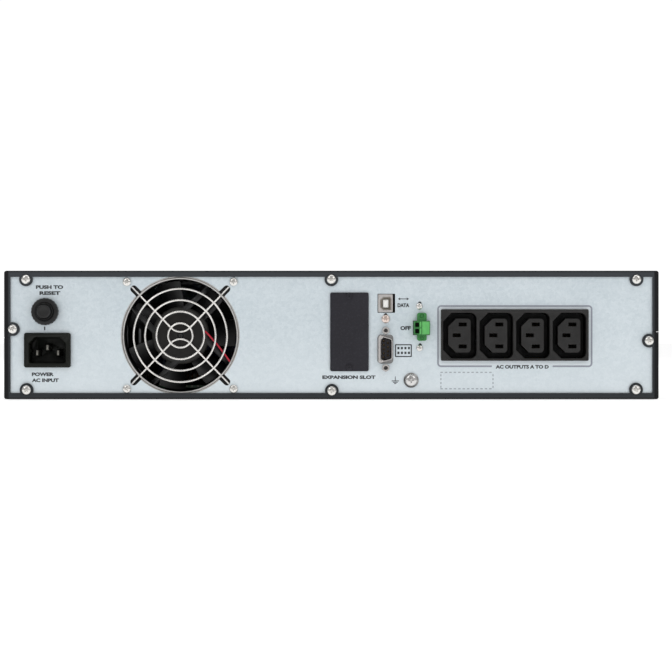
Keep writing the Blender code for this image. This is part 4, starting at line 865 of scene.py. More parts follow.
# ------------------------------------------------------------------ fan
def fan_struts():
    out = []
    for k in range(4):
        a0, a1 = math.radians(92 + 90 * k), math.radians(59 + 90 * k)
        p0 = Vector((FX + 14.5 * math.cos(a0), FZ + 14.5 * math.sin(a0)))
        p1 = Vector((FX + 38.6 * math.cos(a1), FZ + 38.6 * math.sin(a1)))
        side = (p1 - p0).normalized().orthogonal()
        rings = []
        # A strut is a shallow rib: wide at the back, rounded towards the panel.
        rows = []
        for p, w in ((p0, 2.1), (p0.lerp(p1, 0.5), 1.9), (p1, 1.75)):
            rows.append([(p + side * (w * s), y) for s, y in ((-1.0, YF + 2.3), (-0.92, YF + 1.0), (-0.6, YF + 0.45), (0.0, YF + 0.3), (0.6, YF + 0.45), (0.92, YF + 1.0), (1.0, YF + 2.3))])
        bm = bmesh.new()
        grid = [[bm.verts.new(Vector((q.x, y, q.y)) * MM) for q, y in row] for row in rows]
        for r0, r1 in zip(grid, grid[1:]):
            n = len(r0)
            for i in range(n):
                j = (i + 1) % n
                bm.faces.new([r0[i], r0[j], r1[j], r1[i]])
        bm.faces.new(grid[0])
        bm.faces.new(grid[-1])
        bmesh.ops.recalc_face_normals(bm, faces=bm.faces)
        out.append(bm)
    return out


corner_holes = [rod(x, z, 2.2, YF - 5, YB + 5, 24) for x, z in CORNERS]
bore = turned([(BORE_R + 1.4, YF - 1.0), (BORE_R + 1.4, YF + 0.01), (BORE_R + 0.4, YF + 0.5), (BORE_R, YF + 1.6), (BORE_R, YB - 1.6), (BORE_R + 0.5, YB - 0.4), (BORE_R + 1.2, YB + 0.01), (BORE_R + 1.2, YB + 1.0)], FX, FZ, 128)
# The waist between the two flanges is cut back outside the venturi, as on any moulded axial fan.
waist = []
outer = prism([(FX - 60, FZ - 60), (FX + 60, FZ - 60), (FX + 60, FZ + 60), (FX - 60, FZ + 60)], "Y", YF + 4.0, YB - 4.0)
keep = turned([(BORE_R + 1.7, YF + 3.0), (BORE_R + 1.7, YB - 3.0)], FX, FZ, 96)
waist_obj = object_of(outer, "waist_tool")
combine(waist_obj, keep, "DIFFERENCE")
bars = []
for x, z in CORNERS:
    bars.append(rod(x, z, 4.1, YF + 3.0, YB - 3.0, 32))
combine(waist_obj, bars, "DIFFERENCE")
waist_bm = bmesh.new()
waist_bm.from_mesh(waist_obj.data)
bpy.data.objects.remove(waist_obj, do_unlink=True)
frame_ob = piece(
    "fan_housing",
    prism(rounded(FX - 40, FZ - 40, FX + 40, FZ + 40, 3.0, 8), "Y", YF, YB),
    "fan",
    stands="fan_frame",
    bevel=0.25,
    cut=[bore, corner_holes, waist_bm],
)
combine(frame_ob, fan_struts(), "UNION")
combine(frame_ob, turned([(0.0, YF + 0.25), (15.0, YF + 0.25), (17.4, YF + 0.4), (18.8, YF + 1.1), (19.2, YF + 1.9), (19.2, YF + 3.0), (0.0, YF + 3.0)], FX, FZ, 72), "UNION")
combine(frame_ob, turned([(2.3, YF - 1.0), (2.3, YF + 0.5), (2.0, YF + 0.75), (2.0, YF + 0.85), (0.0, YF + 0.85)], FX, FZ, 32), "DIFFERENCE")
# Bearing bore, open to the rotor's shaft from behind.
combine(frame_ob, turned([(0.0, YF + 1.25), (2.0, YF + 1.25), (2.0, YF + 4.0), (0.0, YF + 4.0)], FX, FZ, 32), "DIFFERENCE")
combine(frame_ob, turned([(15.1, YF - 0.5), (15.1, YF + 0.42), (14.5, YF + 0.42), (14.5, YF - 0.5)], FX, FZ, 72, ring=True), "DIFFERENCE")
frame_ob.data.materials.clear()
frame_ob.data.materials.append(MATS["fan"])
for poly in frame_ob.data.polygons:
    poly.use_smooth = True
frame_ob.data.set_sharp_from_angle(angle=math.radians(32))

# A plain matt foil disc on the motor base, with a raised outer edge.
foil = turned([(2.6, YF + 0.3), (2.6, YF + 0.12), (14.2, YF + 0.12), (14.4, YF + 0.16), (14.4, YF + 0.3)], FX, FZ, 72, ring=True)
piece("fan_hub_foil", foil, "fan_hub")
# The motor base's moulded shoulder, in a paler copy of the fan plastic: a painted highlight on its curved edge.
shoulder_ring = turned([(15.6, YF + 0.12), (17.3, YF + 0.22), (18.75, YF + 0.95), (19.3, YF + 1.85), (19.3, YF + 2.3), (19.0, YF + 2.3), (18.4, YF + 1.3), (17.0, YF + 0.6), (15.6, YF + 0.5)], FX, FZ, 96, ring=True)
piece("fan_hub_shoulder", shoulder_ring, "hub_painted_highlight", smooth=60)


def blade(angle):
    """One twisted, rounded-section blade."""
    bm = bmesh.new()
    rows = []
    sections = 13
    for k in range(sections):
        t = k / (sections - 1)
        r = (HUB_R - 1.2) + (BLADE_R - HUB_R + 1.2) * t
        pitch = 48.0 + (30.0 - 48.0) * min(1.0, max(0.0, (r - 15.5) / 21.1)) ** 0.85
        chord = 16.0 + 5.0 * min(1.0, max(0.0, (r - 15.5) / 21.1))
        sweep = 0.05 * t * t
        p = math.radians(pitch)
        row = []
        m = 10
        prof = []
        for i in range(m + 1):
            u = -0.5 + i / m
            th = 1.55 * (0.30 + 0.70 * math.sqrt(max(0.0, 1 - (2 * u) ** 2)))
            prof.append((u, -0.5 * th, -0.55 * (1 - (2 * u) ** 2)))
        for i in range(m, -1, -1):
            u = -0.5 + i / m
            th = 1.55 * (0.30 + 0.70 * math.sqrt(max(0.0, 1 - (2 * u) ** 2)))
            prof.append((u, 0.5 * th, -0.55 * (1 - (2 * u) ** 2)))
        for u, v, camber in prof:
            along = u * chord
            v = v + camber
            arc_len = along * math.cos(p) - v * math.sin(p)
            y = (YF + YB) / 2 + 1.2 + along * math.sin(p) + v * math.cos(p)
            a = angle + sweep + arc_len / r
            row.append(bm.verts.new(Vector((FX + r * math.cos(a), y, FZ + r * math.sin(a))) * MM))
        rows.append(row)
    for first, second in zip(rows, rows[1:]):
        n = len(first)
        for i in range(n):
            j = (i + 1) % n
            bm.faces.new([first[i], first[j], second[j], second[i]])
    bm.faces.new(rows[0])
    bm.faces.new(rows[-1])
    bmesh.ops.triangulate(bm, faces=[f for f in bm.faces if len(f.verts) > 4])
    bmesh.ops.recalc_face_normals(bm, faces=bm.faces)
    return bm


hub = turned([(0.0, YF + 1.45), (1.55, YF + 1.45), (1.55, YF + 3.75), (12.0, YF + 3.75), (12.3, YF + 3.95), (HUB_R - 1.4, YF + 3.95), (HUB_R - 0.5, YF + 4.2), (HUB_R, YF + 5.0), (HUB_R, YB - 1.6), (HUB_R - 0.5, YB - 0.8), (HUB_R - 1.4, YB - 0.5), (7.0, YB - 0.5), (6.7, YB - 1.1), (0.0, YB - 1.1)], FX, FZ, 96)
rotor = piece("fan_blades", hub, "fan", body="fan", stands="fan_rotor", add=[[blade(2 * math.pi * k / 7)] for k in range(7)], smooth=45)

# Guard: five rings and two bent support wires that end in eyelets under the screws.
WIRE = 0.72
rings = [tube([(FX + x, Y_PANEL_IN - 0.3, FZ + z) for x, z in circle(0, 0, radius, max(64, int(radius * 4)))], WIRE, 14, closed=True) for radius in (8.2, 16.0, 23.65, 31.3)]


def guard_wire(sign):
    half_p, bend_r, low = PITCH / 2, 9.0, 2.5
    tx, tz = bend_r * math.sin(math.radians(45)), low + bend_r * (1 - math.cos(math.radians(45)))
    y = Y_PANEL_IN + 0.95
    e = 3.0 * math.cos(math.radians(45))
    sx, sz = half_p - e, half_p - e
    arm = [(sx + (tx - sx) * t, y, sz + (tz - sz) * t) for t in (0.0, 0.1, 0.25, 0.5, 0.75, 0.9)]
    bend = [(bend_r * math.sin(math.radians(a)), y, low + bend_r * (1 - math.cos(math.radians(a)))) for a in range(45, -46, -5)]
    path = arm + bend + [(-x, yy, z) for x, yy, z in reversed(arm)]
    return [(FX + x, yy, FZ + sign * z) for x, yy, z in path]


guard_parts = rings + [tube(guard_wire(s), WIRE, 14) for s in (1, -1)]
guard_parts += [tube([(x + a, Y_PANEL_IN + 0.95, z + b) for a, b in circle(0, 0, 3.0, 40)], WIRE, 14, closed=True) for x, z in CORNERS]
piece("guard_wires", merged(guard_parts), "chrome", stands="fan_guard", smooth=60)
# Painted shade: the outer guard ring takes the darker copy of the wire's metal, as it lies in the shadow of the panel's
# hole edge.
piece("guard_rim", tube([(FX + x, Y_PANEL_IN - 0.3, FZ + z) for x, z in circle(0, 0, 38.3, 160)], 0.68, 14, closed=True), "shaded_wire", smooth=60)
# The turned edge that the punch leaves round the fan hole, between the four slots.
burr = []
for q in range(4):
    a0, a1 = 90 * q - 41.4, 90 * q + 41.4
    burr.append(tube([(FX + 39.45 * math.cos(math.radians(t)), Y_PANEL + 0.34, FZ + 39.45 * math.sin(math.radians(t))) for t in [a0 + (a1 - a0) * k / 60 for k in range(61)]], 0.42, 12))
# The punched edge shares that darker, shaded copy of the metal.
piece("fan_hole_edge", burr, "shaded_wire", smooth=70)
# Thin near-black strips behind the side seams: painted shade, a dark sheet where the gaps show only shade.
piece("seam_shade_strip_left", prism(rounded(-218.7, 37.5, -215.2, 44.5, 0.3, 3), "Y", Y_RIM + SHEET + 0.04, Y_PANEL - 0.06), "seam_shade", smooth=40)
piece("seam_shade_strip_right", prism(rounded(214.95, 42.5, 217.4, 48.0, 0.3, 3), "Y", Y_RIM + SHEET + 0.04, Y_PANEL - 0.06), "seam_shade", smooth=40)
for i in range(4):
    pan_screw(f"fan_screw_head_{i + 1}", f"fan_screw_{i + 1}", "screw", 2.85, 1.85, Y_PANEL, turn=(28 + 23 * i) % 90)

a = math.radians(2)
ly = YF - 0.95
route = [(15.3, 0.0, 3.4), (17.6, 0.0, 1.7), (21.2, 0.0, -2.2), (25.3, 0.0, -7.0), (29.8, 0.0, -12.9), (33.6, 0.0, -18.0), (36.4, 0.0, -20.9), (39.5, 0.0, -22.6), (42.2, 1.2, -23.5), (43.3, 5.0, -24.2), (43.6, 14.0, -25.6), (44.0, 26.0, -28.6), (45.0, 34.0, -31.0), (46.0, 40.0, -31.4)]
route = [(FX + x, ly + y, FZ + z) for x, y, z in route]
piece("fan_lead_wire", tube(smooth_path(route, 8), 0.6, 14), "red", stands="fan_lead", smooth=80)


# ------------------------------------------------------------------ mains inlet
recess = rounded(IX - 12.1, IZ - 8.5, IX + 12.1, IZ + 8.5, 1.5, 8, cuts={"c": 4.0, "d": 4.0})
recess_lead = rounded(IX - 12.5, IZ - 8.9, IX + 12.5, IZ + 8.9, 1.7, 8, cuts={"c": 4.1, "d": 4.1})
PINS = {"earth": (IX, IZ + 1.9), "live": (IX - 7.0, IZ - 1.8), "neutral": (IX + 7.0, IZ - 1.8)}
fy0, fy1 = IN[1], Y_PANEL - GAP
floor_y = Y_PANEL + 14.5
pin_holes = [prism(rounded(px - 1.35, pz - 2.35, px + 1.35, pz + 2.35, 0.5, 4), "Y", Y_PANEL - 5, Y_PANEL + 40) for px, pz in PINS.values()]
inlet = piece(
    "inlet_socket",
    prism(rounded(IX - 15.6, IZ - 11.6, IX + 15.6, IZ + 11.6, 1.5, 8), "Y", fy0, fy1),
    "inlet",
    stands="inlet_housing",
    bevel=0.28,
    add=[prism(rounded(IX - 13.5, IZ - 9.7, IX + 13.5, IZ + 9.7, 1.0, 5), "Y", Y_PANEL - 1.0, IN[4])],
    cut=[loft([(fy0 - 3.0, recess_lead), (fy0 + 0.35, recess_lead), (fy0 + 0.9, recess), (floor_y, recess)], "Y"), pin_holes],
)
# A shallow step at both sides of the front flange, and the shallow ribs beside the pins.
combine(inlet, [block(IX - 15.0, IX - 14.2, fy0 - 1.0, fy0 + 0.25, IZ - 7.0, IZ + 7.0), block(IX + 14.2, IX + 15.0, fy0 - 1.0, fy0 + 0.25, IZ - 7.0, IZ + 7.0)])
rib = [block(IX - 12.3, IX - 11.2, fy0 + 5.0, floor_y + 0.5, IZ - 1.4, IZ + 0.2), block(IX + 11.2, IX + 12.3, fy0 + 5.0, floor_y + 0.5, IZ - 1.4, IZ + 0.2)]
combine(inlet, rib, "UNION")
inlet.data.materials.clear()
inlet.data.materials.append(MATS["inlet"])
for poly in inlet.data.polygons:
    poly.use_smooth = True
inlet.data.set_sharp_from_angle(angle=math.radians(35))
for key, (px, pz) in PINS.items():
    node = f"inlet_pin_{key}"
    b = nbox(node)
    full = rounded(px - 1.0, pz - 2.0, px + 1.0, pz + 2.0, 0.35, 4)
    tip = rounded(px - 0.42, pz - 1.35, px + 0.42, pz + 1.35, 0.2, 4)
    near = rounded(px - 0.92, pz - 1.88, px + 0.92, pz + 1.88, 0.33, 4)
    mid = rounded(px - 0.80, pz - 1.75, px + 0.80, pz + 1.75, 0.3, 4)
    piece(f"inlet_blade_{key}", loft([(b[1], tip), (b[1] + 0.35, mid), (b[1] + 0.9, near), (b[1] + 1.6, full), (b[4], full)], "Y"), "pin_plate", stands=node, smooth=40, cut=[block(px - 3, px + 3, b[4] - 3.9, b[4] - 2.5, pz - 0.7, pz + 0.7)])

# ------------------------------------------------------------------ breaker
nut_front, nut_back = nbox("breaker_nut")[1], nbox("breaker_nut")[4]


def knurl(i, row):
    if row in (0, 1, 6):
        return 1.0
    return 1.0 if (i % 6) in (0, 1, 2) else (0.985 if i % 6 in (3, 5) else 0.975)


nut = turned([(6.7, nut_front), (7.9, nut_front + 0.05), (8.8, nut_front + 0.55), (9.1, nut_front + 1.2), (9.1, nut_back - 0.9), (8.8, nut_back - 0.25), (8.5, nut_back), (6.0, nut_back), (6.0, nut_front + 0.6), (6.3, nut_front + 0.1)], BX, BZ, 144, ring=True, wobble=knurl)
piece("breaker_ring_nut", nut, "breaker", stands="breaker_nut", smooth=30)
bb = nbox("breaker_body")
neck = turned([(4.95, bb[1] + 0.5), (5.1, bb[1] + 0.05), (5.5, bb[1]), (5.7, bb[1] + 0.3), (5.7, Y_PANEL_IN + 0.6), (5.7, Y_PANEL_IN + 4.0), (4.9, Y_PANEL_IN + 4.0), (4.9, bb[1] + 1.0)], BX, BZ, 72, ring=True)
body = piece(
    "breaker_block",
    prism(rounded(BX - 8.0, BZ - 11.0, BX + 8.0, BZ + 11.0, 0.6, 3), "Y", Y_PANEL_IN + GAP, bb[4] - 6.0),
    "breaker",
    stands="breaker_body",
    add=[prism(rounded(BX - 7.0, BZ - 10.0, BX + 7.0, BZ + 10.0, 0.6, 3), "Y", bb[4] - 7.0, bb[4] - 4.0), [block(BX - 3.1, BX + 3.1, bb[4] - 5.0, bb[4], BZ + s * 6.0 - 0.4, BZ + s * 6.0 + 0.4) for s in (-1, 1)], [rod(BX, BZ, 5.7, Y_PANEL_IN - 0.5, Y_PANEL_IN + 3.0, 72)]],
    cut=[rod(BX, BZ, 4.9, Y_PANEL_IN - 4.0, Y_PANEL + 12.0, 48)],
    bevel=0.2,
)
piece("breaker_neck", neck, "breaker", smooth=30)
yb = nbox("breaker_button")[1]
cap = turned([(0.0, yb + 0.5), (1.2, yb + 0.47), (2.6, yb + 0.3), (3.4, yb + 0.05), (3.9, yb), (4.3, yb + 0.15), (4.52, yb + 0.5), (4.6, yb + 1.1), (4.6, nbox("breaker_button")[4]), (0.0, nbox("breaker_button")[4])], BX, BZ, 72)
piece("breaker_push", cap, "button", body="breaker_push", stands="breaker_button", smooth=35)


# ------------------------------------------------------------------ outlets
oy, oyb = OF[1], Y_PANEL - GAP
CORES = [85.7 + 24.46 * i for i in range(4)]
OZ = 42.7
wins, leads = [], []
for cx in CORES:
    x0 = cx - 10.9
    outline = rounded(x0, OZ - 15.3, x0 + 22.2, OZ + 15.0, 4.0, 10, cuts={"a": 5.6, "d": 5.6})
    wide = rounded(x0 - 0.3, OZ - 15.6, x0 + 22.5, OZ + 15.3, 4.3, 10, cuts={"a": 5.7, "d": 5.7})
    wins.append(loft([(oy - 3.0, wide), (oy + 0.2, wide), (oy + 0.75, outline), (Y_PANEL + 40, outline)], "Y"))
frame_o = piece(
    "outlet_surround",
    prism(rounded(OF[0], OF[2], OF[3], OF[5], 1.0, 6), "Y", oy, oyb),
    "outlet",
    stands="outlet_frame",
    bevel=0.30,
    add=[prism(rounded(OF[0] + 0.7, OF[2] + 0.6, OF[3] - 0.7, OF[5] - 0.6, 0.8, 4), "Y", Y_PANEL - 1.0, OF[4])],
    cut=[wins],
)
# Snap wedges on the outside of the shell, behind the panel.
combine(frame_o, [block(x - 4, x + 4, Y_PANEL_IN + 0.6, Y_PANEL_IN + 6.0, OF[5] - 1.0, OF[5] - 0.15) for x in (90.0, 123.0, 156.0)], "UNION")
frame_o.data.materials.clear()
frame_o.data.materials.append(MATS["outlet"])
for poly in frame_o.data.polygons:
    poly.use_smooth = True
frame_o.data.set_sharp_from_angle(angle=math.radians(35))

for i, cx in enumerate(CORES):
    x0 = cx - 10.9
    b = nbox(f"outlet_core_{i + 1}")
    floor_o = oy + 17.0
    base = rounded(x0 + GAP, OZ - 15.0, x0 + 22.2 - GAP, OZ + 14.7, 3.8, 8, cuts={"a": 5.6, "d": 5.6})
    h = 7.6
    core = rounded(cx - h, OZ - 11.6, cx + h, OZ + 11.3, 2.5, 8, cuts={"a": 5.3, "d": 5.3})
    core_in = rounded(cx - h + 0.3, OZ - 11.3, cx + h - 0.3, OZ + 11.0, 2.3, 8, cuts={"a": 5.15, "d": 5.15})
    slots = []
    for sx, sz in ((cx + 2.2, OZ - 7.35), (cx + 2.2, OZ + 7.35), (cx - 1.8, OZ + 0.1)):
        inner = rounded(sx - 2.55, sz - 1.15, sx + 2.55, sz + 1.15, 0.25, 3)
        flare = rounded(sx - 2.95, sz - 1.5, sx + 2.95, sz + 1.5, 0.3, 3)
        slots.append(loft([(oy - 5.0, flare), (oy + 0.85, flare), (oy + 1.45, inner), (oy + 15.0, inner)], "Y"))
    piece(
        f"outlet_insert_{i + 1}",
        loft([(oy + 0.8, core_in), (oy + 1.15, core), (floor_o + 0.6, core)], "Y"),
        "outlet",
        stands=f"outlet_core_{i + 1}",
        smooth=30,
        add=[prism(base, "Y", floor_o, b[4])],
        cut=[slots],
    )
    # Sprung contacts, a little below the mouth of each slot.
    contacts = []
    for sx, sz in ((cx + 2.2, OZ - 7.35), (cx + 2.2, OZ + 7.35), (cx - 1.8, OZ + 0.1)):
        for s in (-1, 1):
            strip_pts = [(oy + 4.5, sz + s * 1.08), (oy + 5.2, sz + s * 0.80), (oy + 8.0, sz + s * 0.52), (oy + 12.0, sz + s * 0.85), (oy + 14.7, sz + s * 0.85), (oy + 14.7, sz + s * 1.08)]
            contacts.append(prism([(y, z) for y, z in strip_pts], "X", sx - 2.1, sx + 2.1))
    piece(f"outlet_contacts_{i + 1}", merged(contacts), "brass", smooth=50)


# ------------------------------------------------------------------ expansion slot cover
SC = nbox("slot_cover")
piece("slot_plate", prism(rounded(SC[0], SC[2], SC[3], SC[5], 1.2, 6), "Y", SC[1], SC[4]), "slot", stands="slot_cover", bevel=0.25, cut=[holes(SLOT_SCREWS, y0=-215, y1=-200)])
for side, turn in (("top", 12.0), ("bottom", 51.0)):
    pan_screw(f"slot_screw_head_{side}", f"slot_screw_{side}", "slot", 2.0, 1.2, SC[1], turn=turn)

# ------------------------------------------------------------------ USB type B port on its side
US = nbox("usb_shell")
port = rounded(33.0, 59.8, 39.8, 68.2, 0.5, 4, cuts={"a": 1.9, "d": 1.9})
mouth = rounded(32.6, 59.4, 40.2, 68.6, 0.6, 4, cuts={"a": 2.1, "d": 2.1})
usb = piece(
    "usb_can",
    prism(rounded(US[0], US[2], US[3], US[5], 0.5, 4), "Y", US[1], US[4]),
    "nickel",
    stands="usb_shell",
    bevel=0.12,
    cut=[loft([(US[1] - 2.0, mouth), (US[1] + 0.1, mouth), (US[1] + 0.55, port), (Y_PANEL + 13.0, port)], "Y")],
)
combine(usb, [block(US[3] - 0.2, US[3] + 1.0, US[1] + 3.0, US[1] + 8.0, 62.2, 66.2)])
liner = rounded(33.05, 59.85, 39.75, 68.15, 0.45, 4, cuts={"a": 1.88, "d": 1.88})
liner_in = rounded(33.6, 60.4, 39.2, 67.6, 0.4, 4, cuts={"a": 1.75, "d": 1.75})
UT = nbox("usb_tongue")
ring_l = object_of(prism(liner, "Y", US[1] + 0.9, Y_PANEL + 12.9), "usb_liner")
combine(ring_l, prism(liner_in, "Y", US[1] - 1.0, US[1] + 2.7))
combine(ring_l, block(UT[0] - 0.12, UT[3] + 0.12, US[1] - 2.0, UT[4] + 0.1, UT[2] - 0.12, UT[5] + 0.12))
bm = bmesh.new()
bm.from_mesh(ring_l.data)
bpy.data.objects.remove(ring_l, do_unlink=True)
piece("usb_lining", bm, "lining", smooth=30)
tongue = rounded(UT[0], UT[2], UT[3], UT[5], 0.4, 4)
tongue_in = rounded(UT[0] + 0.55, UT[2] + 0.7, UT[3] - 0.55, UT[5] - 0.7, 0.3, 4)
piece("usb_post", loft([(UT[1], tongue_in), (UT[1] + 0.6, tongue), (UT[4], tongue)], "Y"), "white", stands="usb_tongue", smooth=30, cut=[[block(UT[3] - 0.32, UT[3] + 1, UT[1] + 0.9, UT[4] - 0.6, UT[2] + 1.0 + 2.0 * k, UT[2] + 1.9 + 2.0 * k) for k in range(2)]])
piece("usb_contacts", [block(UT[3] - 0.3, UT[3] - 0.02, UT[1] + 1.0, UT[4] - 0.7, UT[2] + 1.08 + 2.0 * k, UT[2] + 1.82 + 2.0 * k) for k in range(2)], "brass", bevel=0.05)
pan_screw("usb_screw_head", "usb_screw", "copper_screw", 2.85, 1.75, Y_PANEL, turn=38)


# ------------------------------------------------------------------ nine-way D-sub socket
def d_outline(x0, x1, z0, z1, r, taper, n=8):
    return arc(x0 + r, z0 + r, r, 180, 280, n) + arc(x1 - r, z0 + taper + r * 0.9, r, 280, 360, n) + arc(x1 - r, z1 - taper - r * 0.9, r, 0, 80, n) + arc(x0 + r, z1 - r, r, 80, 180, n)


SSH, SIN = nbox("serial_shell"), nbox("serial_insert")
d_outer = d_outline(31.3, 41.0, 24.3, 42.8, 1.7, 2.4)
d_inner = d_outline(33.6, 39.7, 26.45, 40.55, 1.2, 0.5)
d_insert = d_outline(33.75, 39.55, 26.6, 40.4, 1.1, 0.46)
d_thin_out, d_thin_in = d_outline(31.55, 40.75, 24.55, 42.55, 1.6, 2.3), d_outline(32.7, 40.3, 25.4, 41.6, 1.5, 1.5)
piece(
    "serial_can",
    loft([(SSH[1], d_thin_out), (SSH[1] + 0.3, d_outer), (Y_PANEL + 3.2, d_outer)], "Y"),
    "nickel",
    stands="serial_shell",
    bevel=0.1,
    cut=[loft([(SSH[1] - 2, d_thin_in), (SSH[1] + 0.1, d_thin_in), (SSH[1] + 1.1, d_inner), (SSH[4] + 9, d_inner)], "Y")],
)
piece(
    "serial_flange",
    prism(rounded(30.2, 17.2, 42.2, 49.8, 1.5, 5), "Y", Y_PANEL_IN + GAP, SSH[4]),
    "flange_metal",
    bevel=0.1,
    cut=[prism(d_outline(31.7, 40.6, 24.7, 42.4, 1.6, 2.2), "Y", Y_PANEL - 9, Y_PANEL + 9), [rod(x, z, 2.1, Y_PANEL - 9, Y_PANEL + 9, 24) for x, z in JACKS]],
)
SP = [(35.0, 33.5 + 2.77 * (i - 2)) for i in range(5)] + [(37.8, 33.5 + 2.77 * (i - 1.5)) for i in range(4)]
d_face = d_outline(33.95, 39.35, 26.75, 40.25, 1.0, 0.42)
pin_sockets = [turned([(0.95, SIN[1] - 1.0), (0.95, SIN[1] + 0.01), (0.55, SIN[1] + 0.5), (0.55, SIN[1] + 6.0), (0.0, SIN[1] + 6.0), ], x, z, 20) for x, z in SP]
for bm_s in pin_sockets:
    bmesh.ops.holes_fill(bm_s, edges=bm_s.edges)
    bmesh.ops.recalc_face_normals(bm_s, faces=bm_s.faces)
piece("serial_block", loft([(SIN[1], d_face), (SIN[1] + 0.25, d_insert), (SIN[4], d_insert)], "Y"), "insert", stands="serial_insert", smooth=30, cut=[pin_sockets])
piece("serial_contacts", [turned([(0.28, SIN[1] + 1.6), (0.28, SIN[1] + 5.2), (0.5, SIN[1] + 5.2), (0.5, SIN[1] + 1.6)], x, z, 16, ring=True) for x, z in SP], "brass", smooth=50)
for side in ("top", "bottom"):
    node = f"serial_jackscrew_{side}"
    b = nbox(node)
    x, z = centre(node)
    hexa = circle(x, z, 2.7, 6, turn=math.pi / 6)
    hexa_in = circle(x, z, 2.45, 6, turn=math.pi / 6)
    fine = lambda pts: [((pts[k][0] * (1 - t) + pts[(k + 1) % 6][0] * t), (pts[k][1] * (1 - t) + pts[(k + 1) % 6][1] * t)) for k in range(6) for t in (0.0, 0.5)]
    obj = piece(f"jackscrew_{side}", loft([(b[1], fine(hexa_in)), (b[1] + 0.25, fine(hexa)), (Y_PANEL - GAP, fine(hexa))], "Y"), "nickel", stands=node, smooth=25, add=[rod(x, z, 1.4, Y_PANEL - 1.0, b[4], 32)], cut=[turned([(1.75, b[1] - 1.0), (1.7, b[1] + 0.01), (1.25, b[1] + 0.45), (1.25, Y_PANEL - 1.2), (0.0, Y_PANEL - 0.6)], x, z, 32)])
    # The thread inside the tapped hole.
    thread = [(x + 1.12 * math.cos(t), b[1] + 0.6 + 0.45 * t / (2 * math.pi), z + 1.12 * math.sin(t)) for t in [2 * math.pi * k / 16 for k in range(16 * 6)]]
    piece(f"jackscrew_thread_{side}", tube(thread, 0.12, 6), "dark_metal", smooth=80)
    piece(f"jackscrew_bore_{side}", turned([(0.0, b[1] + 2.2), (1.24, b[1] + 2.2), (1.24, b[1] + 0.75), (1.2, b[1] + 0.75), (1.2, b[1] + 2.1), (0.0, b[1] + 2.1)], x, z, 24), "dark_metal", smooth=40)


# ------------------------------------------------------------------ two-way pluggable terminal
x0, x1, z0, z1 = 55.0, 65.7, 43.3, 52.1
# Painted shade: the header, plug body, rib and ear screws take the shaded copy of the green plastic.
piece(
    "relay_header",
    block(x0, x1, HD[1], HD[4], z0, z1),
    "shaded_green",
    stands="epo_header",
    bevel=0.22,
    cut=[block(x0 + 1.1, x1 - 1.1, HD[1] - 5, Y_PANEL + 9.5, z0 + 1.1, z1 - 1.1)],
)
Y = Y_PANEL
slope = [(Y - 6.9, x0 + 0.3), (Y - 6.9, x0 + 5.4), (Y - 5.6, x1), (Y - 0.6, x1), (Y - 0.6, x0), (Y - 6.6, x0)]
entries = []
for z in (49.8, 45.6):
    e_in = rounded(56.0, z - 1.45, 58.6, z + 1.45, 0.5, 4)
    e_out = rounded(55.7, z - 1.7, 58.9, z + 1.7, 0.6, 4)
    entries.append(loft([(Y - 12.0, e_out), (Y - 6.8, e_out), (Y - 6.3, e_in), (Y - 1.2, e_in)], "Y"))
ears = prism(rounded(57.3, 39.1, 63.7, 57.8, 1.4, 6), "Y", Y - 4.2, Y - 0.6)
plug = piece(
    "relay_plug",
    prism([(b_, a_) for a_, b_ in slope], "Z", z0, z1),
    "shaded_green",
    body="epo_terminal",
    stands="epo_plug",
    bevel=0.2,
    add=[ears, block(x0 + 1.5, x1 - 1.5, Y - 1.0, Y + 8.0, z0 + 1.5, z1 - 1.5)],
    cut=[entries, [turned([(1.55, Y - 12.0), (1.55, Y - 4.05), (1.3, Y - 3.8), (1.3, Y - 3.2), (0.0, Y - 3.2)], 60.5, z, 28) for z in (41.2, 55.7)]],
)
# The shoulder that covers the clamp screws, in the lighter green as painted light on its lit slope, and a rib between
# the two wire entries; the key takes the lighter green too.
shoulder = [(Y - 8.0, 60.5), (Y - 8.0, 61.0), (Y - 6.9, x1 - 0.5), (Y - 6.3, x1), (Y - 2.5, x1), (Y - 2.5, 60.5)]
piece("relay_shoulder", prism([(b_, a_) for a_, b_ in shoulder], "Z", z0 + 0.08, z1 - 0.08), "green", body="epo_terminal", bevel=0.35, segments=3)
piece("relay_rib", prism(rounded(x0 + 0.1, 47.35, 60.3, 48.05, 0.2, 3), "Y", Y - 8.0, Y - 5.0), "shaded_green", body="epo_terminal", bevel=0.12)
piece("relay_key", prism(rounded(58.9, z0 + 0.3, 60.1, z1 - 0.3, 0.3, 3), "Y", Y - 7.5, Y - 5.0), "green", body="epo_terminal", bevel=0.15)
clamps = []
for z in (49.8, 45.6):
    clamps.append(block(56.15, 58.45, Y - 2.4, Y - 1.9, z - 1.3, z + 1.3))
# Painted shade: the clamps are near-black, standing for the shade inside the wire entries.
piece("relay_clamps", clamps, "recess", body="epo_terminal", bevel=0.1)
# The two ear screws.
flange = []
for z in (41.2, 55.7):
    s = object_of(turned([(0.0, Y - 3.95), (1.0, Y - 3.95), (1.22, Y - 3.7), (1.22, Y - 3.0), (0.0, Y - 3.0)], 60.5, z, 24), "tool_screw")
    combine(s, block(58.0, 63.0, Y - 5.0, Y - 3.65, z - 0.22, z + 0.22))
    bm = bmesh.new()
    bm.from_mesh(s.data)
    bpy.data.objects.remove(s, do_unlink=True)
    flange.append(bm)
piece("relay_flange_screws", flange, "shaded_green", body="epo_terminal", smooth=35)
for side, turn in (("top", 22.0), ("bottom", 63.0)):
    pan_screw(f"relay_plate_screw_{side}", f"epo_screw_{side}", "screw", 2.2, 1.45, Y_PANEL, turn=turn)
pan_screw("earth_screw", "ground_screw", "earth_metal", 3.9, 1.95, Y_PANEL, turn=3.0, washer_r=5.0)


